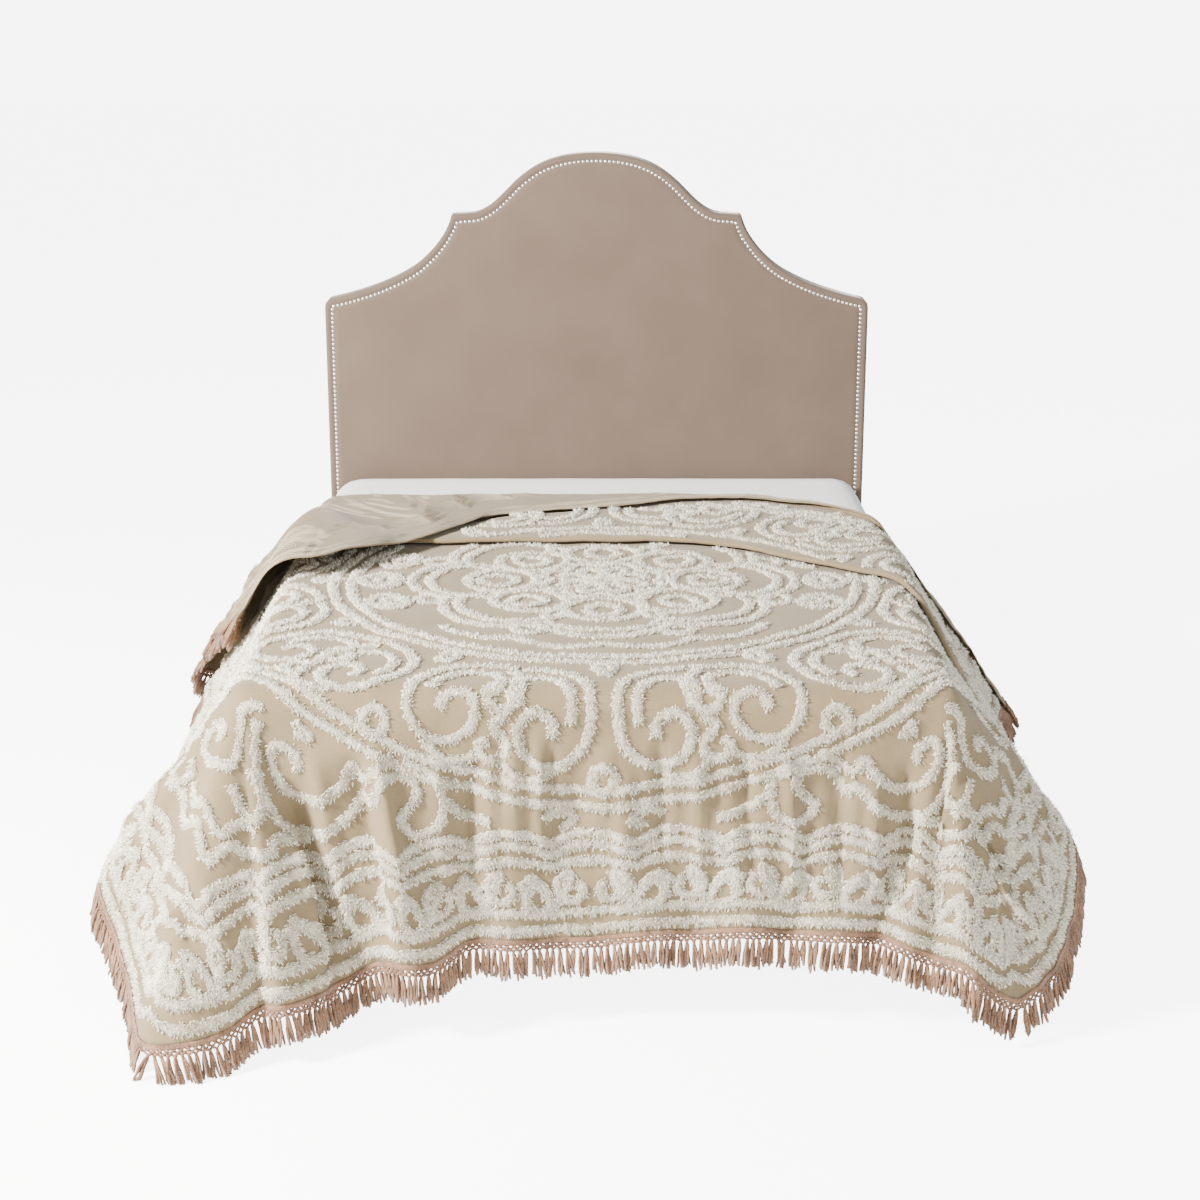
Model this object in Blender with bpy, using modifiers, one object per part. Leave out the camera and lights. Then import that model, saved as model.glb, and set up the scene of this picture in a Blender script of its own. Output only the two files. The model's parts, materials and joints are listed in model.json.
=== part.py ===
"""A tufted chenille bedspread with a knotted fringe, lying on a queen bed with a camelback headboard.

Metres, +Z up, the foot of the bed towards -Y. Every cloth shape starts as a flat grid in the cloth's
own measures: `across` from the middle line, and `along` the bed. drape() lays a flat place on the bed.
"""

from collections import namedtuple
from math import atan2, cos, hypot, pi, radians, sin

import bmesh
import bpy
import numpy as np
from mathutils import Vector
from mathutils.geometry import interpolate_bezier

# Bed, all heights above the floor
BED_WIDTH = 1.52
BED_LENGTH = 2.03
LEG_HEIGHT = 0.20
LEG_RADIUS = 0.028
LEG_FOOT_RADIUS = 0.019
LEG_INSET_SIDE = 0.12
LEG_INSET_END = 0.42
BASE_HEIGHT = 0.25
BASE_INSET = 0.012
BASE_EDGE_RADIUS = 0.012
MATTRESS_HEIGHT = 0.29
MATTRESS_EDGE_RADIUS = 0.085
JOINT_GAP = 0.0004

HEADBOARD_HALF_WIDTH = 0.782
HEADBOARD_THICKNESS = 0.085
HEADBOARD_BOTTOM = 0.30
HEADBOARD_EDGE_RADIUS = 0.005
HEADBOARD_GAP = 0.010
STRUT_WIDTH = 0.07
STRUT_THICKNESS = 0.024
STRUT_PLACE = 0.56

# Bedspread as cut
CUT_HALF_WIDTH = 1.295
FOOT_DROP = 0.56
CLOTH_THICKNESS = 0.004
CLOTH_CLEARANCE = 0.003
FOLD_RADIUS_OVER_EDGE = 0.055
EDGE_LEAVING_SHARE = 1.10
NORMAL_STEP = 0.004
TINY = 1e-9
FAR = 1e9

# Layers of the head tuck and the turned-back flap
TUCK_STEP = 0.010
FLAP_STEP = 0.013
FLAP_PUFF = 0.045
PUFF_START = 0.76
PUFF_FULL = 1.00
TUCK_RAMP = 0.07
TUCK_FLAT_GAP = 0.04
FLAT_BACK_SHARE = 0.3
FLAT_LIP_SHARE = 0.7

# Fringe comb
FRINGE_GAP = 0.0006
FRINGE_HEADING = 0.030
FRINGE_LENGTH = 0.086
FRINGE_THICKNESS = 0.004
FRINGE_PITCH = 0.074
TOOTH_SHARE = 0.62
FRINGE_LEAN = 0.45
FRINGE_FLOOR = 0.0045
FLOOR_SPREAD = 0.8
PAST_HEM = 0.03

MATTRESS_BOTTOM = LEG_HEIGHT + JOINT_GAP + BASE_HEIGHT + JOINT_GAP
MATTRESS_TOP = MATTRESS_BOTTOM + MATTRESS_HEIGHT
CLOTH_OFFSET = CLOTH_CLEARANCE + CLOTH_THICKNESS / 2
CLOTH_TOP = MATTRESS_TOP + CLOTH_OFFSET
SIDE_PLANE = BED_WIDTH / 2 + CLOTH_OFFSET
FOOT_PLANE = -BED_LENGTH / 2 - CLOTH_OFFSET
FOOT_HEM_PLACE = FOOT_PLANE - FOOT_DROP

# Where the hem hangs: run is measured along the flat hem from the middle of the foot, left negative,
# and x, y and z are the place of that stretch of hem in the room. One row for each fold or hollow.
Hem = namedtuple("Hem", "run x y z")
HEM_LINE = (
    Hem(-3.75, -0.96, 0.86, 0.26),
    Hem(-3.45, -1.01, 0.57, 0.27),
    Hem(-3.20, -1.05, 0.33, 0.28),
    Hem(-2.98, -1.02, 0.11, 0.26),
    Hem(-2.75, -1.04, -0.12, 0.27),
    Hem(-2.50, -0.99, -0.36, 0.25),
    Hem(-2.28, -1.03, -0.57, 0.27),
    Hem(-2.10, -1.02, -0.73, 0.265),
    Hem(-1.95, -1.065, -0.83, 0.29),
    Hem(-1.82, -1.07, -0.91, 0.26),
    Hem(-1.68, -1.035, -0.96, 0.195),
    Hem(-1.55, -0.995, -1.03, 0.13),
    Hem(-1.42, -0.96, -1.13, 0.09),
    Hem(-1.295, -0.915, -1.26, 0.072),
    Hem(-1.18, -0.83, -1.275, 0.078),
    Hem(-1.07, -0.755, -1.25, 0.09),
    Hem(-0.97, -0.69, -1.20, 0.12),
    Hem(-0.87, -0.64, -1.215, 0.13),
    Hem(-0.78, -0.58, -1.16, 0.125),
    Hem(-0.69, -0.53, -1.075, 0.12),
    Hem(-0.60, -0.46, -1.08, 0.165),
    Hem(-0.50, -0.40, -1.14, 0.185),
    Hem(-0.40, -0.34, -1.115, 0.18),
    Hem(-0.30, -0.27, -1.05, 0.20),
    Hem(-0.20, -0.19, -1.07, 0.21),
    Hem(-0.10, -0.10, -1.05, 0.205),
    Hem(0.01, 0.0, -1.04, 0.205),
    Hem(0.12, 0.115, -1.055, 0.225),
    Hem(0.22, 0.21, -1.04, 0.22),
    Hem(0.34, 0.32, -1.075, 0.24),
    Hem(0.45, 0.41, -1.05, 0.225),
    Hem(0.56, 0.50, -1.085, 0.235),
    Hem(0.68, 0.59, -1.06, 0.22),
    Hem(0.79, 0.65, -1.10, 0.21),
    Hem(0.90, 0.71, -1.09, 0.185),
    Hem(1.01, 0.765, -1.15, 0.19),
    Hem(1.13, 0.81, -1.15, 0.15),
    Hem(1.295, 0.88, -1.12, 0.10),
    Hem(1.42, 0.925, -1.10, 0.12),
    Hem(1.55, 0.965, -1.05, 0.14),
    Hem(1.68, 1.0, -1.0, 0.17),
    Hem(1.80, 1.03, -0.91, 0.185),
    Hem(1.92, 1.05, -0.85, 0.245),
    Hem(2.05, 1.06, -0.77, 0.31),
    Hem(2.22, 1.03, -0.62, 0.28),
    Hem(2.42, 1.0, -0.45, 0.26),
    Hem(2.62, 1.02, -0.25, 0.265),
    Hem(2.85, 0.99, -0.02, 0.25),
    Hem(3.05, 1.055, 0.17, 0.27),
    Hem(3.25, 1.08, 0.36, 0.27),
    Hem(3.75, 1.04, 0.86, 0.26),
)

# The head end by columns of cloth: the tuck's lip, how far it runs under, the head fold, the flap's
# width, and how far it is drawn towards the middle for each metre of width
Head = namedtuple("Head", "across lip tuck tuck_share fold flap slew")
HEAD_LINE = (
    Head(-1.295, 0.10, 0.03, 0.0, 0.47, 0.60, 0.65),
    Head(-1.05, 0.12, 0.03, 0.0, 0.55, 0.72, 0.52),
    Head(-0.90, 0.13, 0.03, 0.0, 0.61, 0.67, 0.50),
    Head(-0.77, 0.14, 0.03, 0.0, 0.64, 0.58, 0.50),
    Head(-0.66, 0.14, 0.035, 0.0, 0.65, 0.50, 0.50),
    Head(-0.52, 0.14, 0.05, 1.0, 0.655, 0.38, 0.50),
    Head(-0.40, 0.14, 0.11, 1.0, 0.66, 0.27, 0.50),
    Head(-0.20, 0.155, 0.22, 1.0, 0.665, 0.20, 0.50),
    Head(0.0, 0.16, 0.27, 1.0, 0.665, 0.14, 0.50),
    Head(0.20, 0.15, 0.30, 1.0, 0.665, 0.065, 0.50),
    Head(0.35, 0.10, 0.34, 1.0, 0.655, 0.04, 0.50),
    Head(0.49, -0.02, 0.38, 1.0, 0.63, 0.04, 0.50),
    Head(0.63, -0.13, 0.42, 1.0, 0.55, 0.04, 0.50),
    Head(0.72, -0.22, 0.44, 1.0, 0.43, 0.04, 0.50),
    Head(0.80, -0.37, 0.45, 1.0, 0.36, 0.04, 0.50),
    Head(0.95, -0.47, 0.47, 1.0, 0.34, 0.04, 0.50),
    Head(1.295, -0.52, 0.47, 1.0, 0.36, 0.04, 0.50),
)

# Rows of the cloth grid along the bed: (stretch of the path, places in it from 0 to 1)
HANG_ROWS = 5
EDGE_ROWS = 3
UNDER_ROWS = 13
UNDER_SPREAD = 1.25
TUCK_ROWS = 2
TURN_ROWS = 2
TOP_ROWS = 6
FLAP_ROWS = 5
LEFT_SIDE_COLUMNS = 10
RIGHT_SIDE_COLUMNS = 6
BEND_COLUMNS = 3
TOP_COLUMNS = 10


def smooth_table(rows, key):
    """A smooth curve through the table's columns, with no overshoot past a row's neighbours' slopes."""
    at = np.array([getattr(row, key) for row in rows])
    fields = [name for name in rows[0]._fields if name != key]
    values = np.array([[getattr(row, name) for name in fields] for row in rows])
    steps = np.diff(at)[:, None]
    slopes = np.diff(values, axis=0) / steps
    tangent = np.zeros_like(values)
    tangent[1:-1] = (slopes[:-1] * steps[1:] + slopes[1:] * steps[:-1]) / (steps[1:] + steps[:-1])
    tangent[0] = slopes[0]
    tangent[-1] = slopes[-1]

    def read(place):
        place = min(max(place, at[0]), at[-1])
        i = min(max(int(np.searchsorted(at, place)) - 1, 0), len(at) - 2)
        step = at[i + 1] - at[i]
        t = (place - at[i]) / step
        rise = (3 - 2 * t) * t * t
        return (
            values[i] * (1 - rise)
            + values[i + 1] * rise
            + step * (t * (1 - t) ** 2 * tangent[i] - t * t * (1 - t) * tangent[i + 1])
        )

    return read


hem_at = smooth_table(HEM_LINE, "run")
head_at = smooth_table(HEAD_LINE, "across")


def smoothstep(low, high, value):
    t = min(max((value - low) / (high - low), 0.0), 1.0)
    return t * t * (3 - 2 * t)


def drape(across, along):
    """Where a flat place of a single layer lies: on the mattress, round its edge, or hanging to the hem."""
    inner = SIDE_PLANE - FOLD_RADIUS_OVER_EDGE
    foot = FOOT_PLANE + FOLD_RADIUS_OVER_EDGE
    root = np.array([min(max(across, -inner), inner), max(along, foot)])
    over = np.array([across, along]) - root
    distance = hypot(*over)
    if distance < TINY:
        return np.array([root[0], root[1], CLOTH_TOP])
    way = over / distance
    to_side = (CUT_HALF_WIDTH - inner) / abs(way[0]) if abs(way[0]) > TINY else FAR
    to_foot = (foot - FOOT_HEM_PLACE) / -way[1] if way[1] < -TINY else FAR
    reach = min(to_side, to_foot)
    if to_foot < to_side:
        run = root[0] + way[0] * reach
    else:
        along_hem = root[1] + way[1] * reach - FOOT_HEM_PLACE
        run = np.sign(way[0]) * (CUT_HALF_WIDTH + along_hem)
    x, y, z = hem_at(run)
    hem = np.array([x, y])
    radius = FOLD_RADIUS_OVER_EDGE
    out = max(float(np.dot(hem - root, way)) - radius, 0.0)
    leaving = atan2(EDGE_LEAVING_SHARE * out, CLOTH_TOP - radius - z)
    bend = pi / 2 - leaving
    arc = radius * bend
    if distance < arc:
        turned = distance / radius
        place = root + way * radius * sin(turned)
        return np.array([place[0], place[1], CLOTH_TOP - radius * (1 - cos(turned))])
    part = (distance - arc) / (reach - arc)
    start = root + way * radius * sin(bend)
    start_z = CLOTH_TOP - radius * (1 - cos(bend))
    swing = part * (EDGE_LEAVING_SHARE + (1 - EDGE_LEAVING_SHARE) * min(part, 1.0))
    place = start + (hem - start) * swing
    return np.array([place[0], place[1], start_z + (z - start_z) * part])


def lifted(across, along, height):
    """The same place, raised off the single layer along its normal, for a second or third layer."""
    place = drape(across, along)
    if height == 0:
        return place
    side = drape(across + NORMAL_STEP, along) - drape(across - NORMAL_STEP, along)
    ahead = drape(across, along + NORMAL_STEP) - drape(across, along - NORMAL_STEP)
    normal = np.cross(side, ahead)
    return place + normal / np.linalg.norm(normal) * height


def tuck_height(across, along):
    """How high the cloth that runs over the tuck lies, at any place of the bed."""
    lip, tuck, share, _, _, _ = head_at(across)
    back = lip + tuck
    rise = 1 - smoothstep(back + TUCK_STEP, back + TUCK_STEP + TUCK_RAMP, along)
    return 2 * TUCK_STEP * share * rise


def flap_height(across):
    """How far the turned-back flap stands off the layer under it: close on top, puffed at the left side."""
    return FLAP_STEP + FLAP_PUFF * smoothstep(PUFF_START, PUFF_FULL, -across)


def turn(place, low, high, direction, t):
    """A half-round turn between two layers."""
    middle = (low + high) / 2
    radius = (high - low) / 2
    angle = pi * t
    return place + direction * radius * sin(angle), middle - radius * cos(angle)


def path_rows():
    """The cloth's rows from the foot hem to the head hem: (stretch, share of it)."""
    rows = [("hang", k / HANG_ROWS) for k in range(HANG_ROWS)]
    rows += [("edge", k / EDGE_ROWS) for k in range(EDGE_ROWS)]
    rows += [("under", (k / UNDER_ROWS) ** UNDER_SPREAD) for k in range(UNDER_ROWS + 1)]
    rows += [("inner turn", (k + 1) / (TURN_ROWS + 1)) for k in range(TURN_ROWS)]
    rows += [("back", k / TUCK_ROWS) for k in range(TUCK_ROWS + 1)]
    rows += [("lip turn", (k + 1) / (TURN_ROWS + 1)) for k in range(TURN_ROWS)]
    rows += [("over", k / TOP_ROWS) for k in range(TOP_ROWS + 1)]
    rows += [("fold turn", (k + 1) / (TURN_ROWS + 1)) for k in range(TURN_ROWS)]
    rows += [("flap", k / FLAP_ROWS) for k in range(FLAP_ROWS + 1)]
    return rows


def path(across, stretch, t):
    """(across, along, height) of one place on the folded path of one column of cloth."""
    lip, tuck, share, fold, flap, slew = head_at(across)
    tuck = max(tuck, 0.0)
    share = min(max(share, 0.0), 1.0)
    back = lip + tuck
    flat_lip = lip + TUCK_FLAT_GAP
    step = TUCK_STEP
    foot_top = FOOT_PLANE + FOLD_RADIUS_OVER_EDGE
    foot_bend = foot_top - FOLD_RADIUS_OVER_EDGE * pi / 2
    if stretch == "hang":
        return across, FOOT_HEM_PLACE + t * (foot_bend - FOOT_HEM_PLACE), 0.0
    if stretch == "edge":
        return across, foot_bend + t * (foot_top - foot_bend), 0.0
    if stretch == "under":
        end = share * back + (1 - share) * lip
        return across, foot_top + t * (end - foot_top), 0.0
    if stretch == "inner turn":
        q, h = turn(back, 0.0, step, 1, t)
        return across, share * q + (1 - share) * (lip + TUCK_FLAT_GAP * FLAT_BACK_SHARE * t), share * h
    if stretch == "back":
        q = back + t * (lip - back)
        flat = lip + TUCK_FLAT_GAP * (FLAT_BACK_SHARE + (FLAT_LIP_SHARE - FLAT_BACK_SHARE) * t)
        return across, share * q + (1 - share) * flat, share * step
    if stretch == "lip turn":
        q, h = turn(lip, step, 2 * step, -1, t)
        flat = lip + TUCK_FLAT_GAP * (FLAT_LIP_SHARE + (1 - FLAT_LIP_SHARE) * t)
        return across, share * q + (1 - share) * flat, share * h
    if stretch == "over":
        start = share * lip + (1 - share) * flat_lip
        q = start + t * (fold - start)
        return across, q, tuck_height(across, q)
    if stretch == "fold turn":
        q, h = turn(fold, 0.0, flap_height(across), 1, t)
        return across, q, h
    q = fold - t * flap
    p = across + slew * flap * t * (2 - t)
    return p, q, tuck_height(p, q) + flap_height(across)


def on_path(across, stretch, t):
    return lifted(*path(across, stretch, t))


def column_places():
    """The cloth's columns from the left hem to the right: closer together over the mattress edge."""
    inner = SIDE_PLANE - FOLD_RADIUS_OVER_EDGE
    edge = inner + FOLD_RADIUS_OVER_EDGE * pi / 2
    bend = np.linspace(edge, inner, BEND_COLUMNS + 1)[1:]
    left_hang = np.linspace(CUT_HALF_WIDTH, edge, LEFT_SIDE_COLUMNS + 1)
    right_hang = np.linspace(CUT_HALF_WIDTH, edge, RIGHT_SIDE_COLUMNS + 1)
    top = np.linspace(-inner, inner, 2 * TOP_COLUMNS + 1)[1:-1]
    left = np.concatenate([left_hang, bend])
    right = np.concatenate([right_hang, bend])
    return np.concatenate([-left, top, right[::-1]])


def make_material(name, colour, roughness, sheen=0.0):
    material = bpy.data.materials.new(name)
    material.use_nodes = True
    shader = material.node_tree.nodes["Principled BSDF"]
    shader.inputs["Base Color"].default_value = (*colour, 1.0)
    shader.inputs["Roughness"].default_value = roughness
    shader.inputs["Metallic"].default_value = 0.0
    shader.inputs["Sheen Weight"].default_value = sheen
    return material


def object_from(bm, name, material):
    mesh = bpy.data.meshes.new(name)
    bm.to_mesh(mesh)
    bm.free()
    mesh.materials.append(material)
    obj = bpy.data.objects.new(name, mesh)
    bed.objects.link(obj)
    return obj


def solidify(obj, thickness):
    modifier = obj.modifiers.new("thickness", "SOLIDIFY")
    modifier.thickness = thickness
    modifier.offset = 0.0
    modifier.use_even_offset = False


def make_bedspread():
    rows = path_rows()
    columns = column_places()
    bm = bmesh.new()
    bmesh.ops.create_grid(
        bm, x_segments=len(columns) - 1, y_segments=len(rows) - 1, size=0.5, calc_uvs=False
    )
    for vertex in bm.verts:
        column = round((vertex.co.x + 0.5) * (len(columns) - 1))
        row = round((vertex.co.y + 0.5) * (len(rows) - 1))
        vertex.co = on_path(columns[column], *rows[row])
    obj = object_from(bm, "bedspread", make_material("cotton", (0.60, 0.54, 0.45), 0.9, 0.2))
    solidify(obj, CLOTH_THICKNESS)
    return obj


def fringe_reach(place, ahead, lean, distance):
    """A place on the fringe that far from the hem: on past the cloth, leaning down, and never in the floor."""
    way = ahead - place
    way = way / np.linalg.norm(way)
    way = way * (1 - lean) + np.array([0.0, 0.0, -lean])
    way = way / np.linalg.norm(way)
    point = place + way * distance
    sunk = max(FRINGE_FLOOR - point[2], 0.0)
    if sunk > 0:
        flat = np.array([way[0], way[1], 0.0])
        point = point + flat / max(np.linalg.norm(flat), TINY) * sunk * FLOOR_SPREAD
        point[2] = FRINGE_FLOOR
    return point


def hem_stations():
    """Along the left side, the foot and the right side: (place on the hem, place a little past it, lean)."""
    sides = {-1: [], 1: []}
    for stretch, t in path_rows():
        single = stretch in ("hang", "edge", "under")
        lean = FRINGE_LEAN if single else 0.0
        for side, found in sides.items():
            place = on_path(side * CUT_HALF_WIDTH, stretch, t)
            across, along, height = path(side * CUT_HALF_WIDTH, stretch, t)
            past = lifted(across + side * PAST_HEM, along, height)
            found.append((place, past, lean))
    foot = []
    for column in column_places()[1:-1]:
        place = drape(column, FOOT_HEM_PLACE)
        past = drape(column, FOOT_HEM_PLACE - PAST_HEM)
        foot.append((place, past, FRINGE_LEAN))
    return sides[-1][::-1] + foot + sides[1]


def comb_stations():
    """The hem in even steps between the cloth's own rows, and which of the steps carry a tooth."""
    stations = hem_stations()
    steps = [stations[0]]
    toothed = []
    for start, end in zip(stations, stations[1:]):
        length = np.linalg.norm(end[0] - start[0])
        teeth = round(length / FRINGE_PITCH)
        shares = [0.0]
        for tooth in range(teeth):
            shares += [(tooth + TOOTH_SHARE) / teeth, (tooth + 1) / teeth]
            toothed += [True, False]
        if teeth == 0:
            shares.append(1.0)
            toothed.append(False)
        for share in shares[1:]:
            steps.append(tuple(a * (1 - share) + b * share for a, b in zip(start, end)))
    return steps, toothed


def make_fringe():
    steps, toothed = comb_stations()
    bm = bmesh.new()
    top = [bm.verts.new(fringe_reach(*step, CLOTH_THICKNESS / 2 + FRINGE_GAP)) for step in steps]
    heading = [bm.verts.new(fringe_reach(*step, FRINGE_HEADING)) for step in steps]
    for k, tooth in enumerate(toothed):
        bm.faces.new((top[k], heading[k], heading[k + 1], top[k + 1]))
        if tooth:
            tips = [bm.verts.new(fringe_reach(*steps[i], FRINGE_LENGTH)) for i in (k, k + 1)]
            bm.faces.new((heading[k], tips[0], tips[1], heading[k + 1]))
    obj = object_from(bm, "fringe", make_material("yarn", (0.60, 0.42, 0.32), 0.85, 0.2))
    solidify(obj, FRINGE_THICKNESS)
    return obj


def make_box(name, size, middle, edge_radius, segments, material):
    bm = bmesh.new()
    bmesh.ops.create_cube(bm, size=1.0)
    bmesh.ops.scale(bm, vec=Vector(size), verts=bm.verts)
    obj = object_from(bm, name, material)
    obj.location = middle
    if edge_radius > 0:
        bevel = obj.modifiers.new("edges", "BEVEL")
        bevel.width = edge_radius
        bevel.segments = segments
    return obj


def make_leg(name, x, y, material):
    bm = bmesh.new()
    bmesh.ops.create_cone(
        bm,
        cap_ends=True,
        segments=24,
        radius1=LEG_FOOT_RADIUS,
        radius2=LEG_RADIUS,
        depth=LEG_HEIGHT,
    )
    obj = object_from(bm, name, material)
    obj.location = (x, y, LEG_HEIGHT / 2)
    return obj


# Half of the headboard's outline, from the bottom corner up and over to the crown:
# place, and the pull of its curve handles before and after it
Corner = namedtuple("Corner", "x z before_x before_z after_x after_z")
HEADBOARD_OUTLINE = (
    Corner(-HEADBOARD_HALF_WIDTH, HEADBOARD_BOTTOM, 0.0, 0.0, 0.0, 0.30),
    Corner(-HEADBOARD_HALF_WIDTH, 1.222, 0.0, -0.30, 0.0, 0.013),
    Corner(-0.760, 1.246, -0.012, 0.0, 0.10, 0.022),
    Corner(-0.527, 1.334, -0.055, -0.035, 0.045, 0.030),
    Corner(-0.415, 1.478, -0.015, -0.055, 0.002, 0.007),
    Corner(-0.406, 1.486, -0.006, 0.0, 0.015, 0.0),
    Corner(-0.352, 1.489, -0.015, 0.0, 0.045, 0.005),
    Corner(-0.237, 1.572, -0.035, -0.035, 0.050, 0.045),
    Corner(0.0, 1.658, -0.13, 0.0, 0.13, 0.0),
)
OUTLINE_STEPS = 8
SHORT_STRETCH = 0.04


def headboard_outline():
    """The closed outline: Bezier stretches over the crown, then back along the straight foot."""
    half = list(HEADBOARD_OUTLINE)
    mirrored = [
        Corner(-c.x, c.z, -c.after_x, c.after_z, -c.before_x, c.before_z) for c in half[-2::-1]
    ]
    corners = half + mirrored
    points = []
    for start, end in zip(corners, corners[1:]):
        length = hypot(end.x - start.x, end.z - start.z)
        steps = OUTLINE_STEPS if length > SHORT_STRETCH else 2
        stretch = interpolate_bezier(
            Vector((start.x, start.z)),
            Vector((start.x + start.after_x, start.z + start.after_z)),
            Vector((end.x + end.before_x, end.z + end.before_z)),
            Vector((end.x, end.z)),
            steps + 1,
        )
        points += stretch[:-1]
    points.append(Vector((corners[-1].x, corners[-1].z)))
    return points


def make_headboard(material):
    back = BED_LENGTH / 2 + HEADBOARD_GAP + HEADBOARD_THICKNESS
    bm = bmesh.new()
    outline = [bm.verts.new((point.x, back, point.y)) for point in headboard_outline()]
    face = bm.faces.new(outline)
    raised = bmesh.ops.extrude_face_region(bm, geom=[face])["geom"]
    front = [part for part in raised if isinstance(part, bmesh.types.BMVert)]
    bmesh.ops.translate(bm, verts=front, vec=(0, -HEADBOARD_THICKNESS, 0))
    bmesh.ops.recalc_face_normals(bm, faces=bm.faces)
    obj = object_from(bm, "headboard", material)
    bevel = obj.modifiers.new("edges", "BEVEL")
    bevel.width = HEADBOARD_EDGE_RADIUS
    bevel.segments = 3
    bevel.angle_limit = radians(60)
    return obj


def make_bed():
    sheet = make_material("sheet", (0.86, 0.86, 0.85), 0.85)
    ticking = make_material("base_cloth", (0.70, 0.68, 0.64), 0.9)
    wood = make_material("wood", (0.16, 0.09, 0.05), 0.45)
    velvet = make_material("headboard_cloth", (0.40, 0.33, 0.28), 0.8, 0.4)
    made = [
        make_box(
            "mattress",
            (BED_WIDTH, BED_LENGTH, MATTRESS_HEIGHT),
            (0, 0, MATTRESS_BOTTOM + MATTRESS_HEIGHT / 2),
            MATTRESS_EDGE_RADIUS,
            4,
            sheet,
        ),
        make_box(
            "base",
            (BED_WIDTH - 2 * BASE_INSET, BED_LENGTH - 2 * BASE_INSET, BASE_HEIGHT),
            (0, 0, LEG_HEIGHT + JOINT_GAP + BASE_HEIGHT / 2),
            BASE_EDGE_RADIUS,
            2,
            ticking,
        ),
        make_headboard(velvet),
    ]
    leg_x = BED_WIDTH / 2 - LEG_INSET_SIDE
    leg_y = BED_LENGTH / 2 - LEG_INSET_END
    legs = (
        ("leg_foot_left", -leg_x, -leg_y),
        ("leg_foot_right", leg_x, -leg_y),
        ("leg_head_left", -leg_x, leg_y),
        ("leg_head_right", leg_x, leg_y),
    )
    for name, x, y in legs:
        made.append(make_leg(name, x, y, wood))
    strut_height = HEADBOARD_BOTTOM - JOINT_GAP
    for side, name in ((-1, "strut_left"), (1, "strut_right")):
        middle = (
            side * STRUT_PLACE,
            BED_LENGTH / 2 + HEADBOARD_GAP + HEADBOARD_THICKNESS / 2,
            strut_height / 2,
        )
        made.append(
            make_box(name, (STRUT_WIDTH, STRUT_THICKNESS, strut_height), middle, 0, 0, wood)
        )
    return made


def stand_on_middle(objects):
    """Moves the whole bed so that the middle of its footprint is the origin."""
    bpy.context.view_layer.update()
    graph = bpy.context.evaluated_depsgraph_get()
    corners = []
    for obj in objects:
        evaluated = obj.evaluated_get(graph)
        mesh = evaluated.to_mesh()
        corners += [evaluated.matrix_world @ vertex.co for vertex in mesh.vertices]
        evaluated.to_mesh_clear()
    points = np.array(corners)
    middle = (points.min(axis=0) + points.max(axis=0)) / 2
    stand = bpy.data.objects.new("bed_middle", None)
    bed.objects.link(stand)
    stand.location = (-middle[0], -middle[1], 0)
    for obj in objects:
        obj.parent = stand
    print("lowest", points.min(axis=0), "highest", points.max(axis=0))


for old in list(bpy.data.objects):
    bpy.data.objects.remove(old, do_unlink=True)
bed = bpy.data.collections.new("chenille_bedspread")
bpy.context.scene.collection.children.link(bed)
stand_on_middle([make_bedspread(), make_fringe()] + make_bed())
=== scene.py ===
# %% [markdown]
# # A tufted chenille bedspread, laid on its bed
#
# A chenille bedspread is a plain cotton cloth with a pattern of soft cut pile sewn through it in lines.
# The pile stands up on the face, and only rows of stitching show on the back. A knotted fringe is sewn
# to three of its edges. Here it lies on a queen bed, drawn smooth except for one cross tuck, with its
# head end turned back over itself so that the back of the cloth shows.
#
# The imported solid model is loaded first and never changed. Every piece below is made in the same
# metres, in the same place, so it needs no fitting.

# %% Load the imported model
import json
from collections import namedtuple
from math import cos, pi, radians, sin

import bmesh
import bpy
import numpy as np
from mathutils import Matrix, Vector
from mathutils.geometry import interpolate_bezier
from mathutils.kdtree import KDTree

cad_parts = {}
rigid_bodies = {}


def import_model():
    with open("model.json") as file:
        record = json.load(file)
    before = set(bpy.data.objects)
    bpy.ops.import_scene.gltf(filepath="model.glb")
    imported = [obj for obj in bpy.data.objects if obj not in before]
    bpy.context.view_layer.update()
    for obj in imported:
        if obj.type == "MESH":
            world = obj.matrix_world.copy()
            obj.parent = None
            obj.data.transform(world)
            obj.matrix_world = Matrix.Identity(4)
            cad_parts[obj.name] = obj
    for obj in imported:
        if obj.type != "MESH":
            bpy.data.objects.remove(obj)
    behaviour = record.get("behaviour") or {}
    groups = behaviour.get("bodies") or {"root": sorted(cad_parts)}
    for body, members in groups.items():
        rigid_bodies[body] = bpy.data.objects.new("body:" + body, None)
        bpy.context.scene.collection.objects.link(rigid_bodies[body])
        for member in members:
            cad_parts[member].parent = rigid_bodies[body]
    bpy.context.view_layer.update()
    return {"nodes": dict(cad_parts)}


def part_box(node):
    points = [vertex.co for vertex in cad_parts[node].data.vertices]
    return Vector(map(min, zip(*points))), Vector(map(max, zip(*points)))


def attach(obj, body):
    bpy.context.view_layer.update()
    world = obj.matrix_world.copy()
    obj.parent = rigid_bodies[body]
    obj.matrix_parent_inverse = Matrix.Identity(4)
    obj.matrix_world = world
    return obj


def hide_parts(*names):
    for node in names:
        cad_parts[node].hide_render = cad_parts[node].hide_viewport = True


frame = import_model()
mattress_low, mattress_high = (np.array(corner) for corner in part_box("mattress"))
BED_MIDDLE = np.array([*(mattress_low + mattress_high)[:2] / 2, 0.0])
BED_WIDTH, BED_LENGTH = (mattress_high - mattress_low)[:2]
MATTRESS_TOP = mattress_high[2]
print("bed", round(BED_WIDTH, 3), "x", round(BED_LENGTH, 3), "m, middle at", BED_MIDDLE.round(4))

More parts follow.
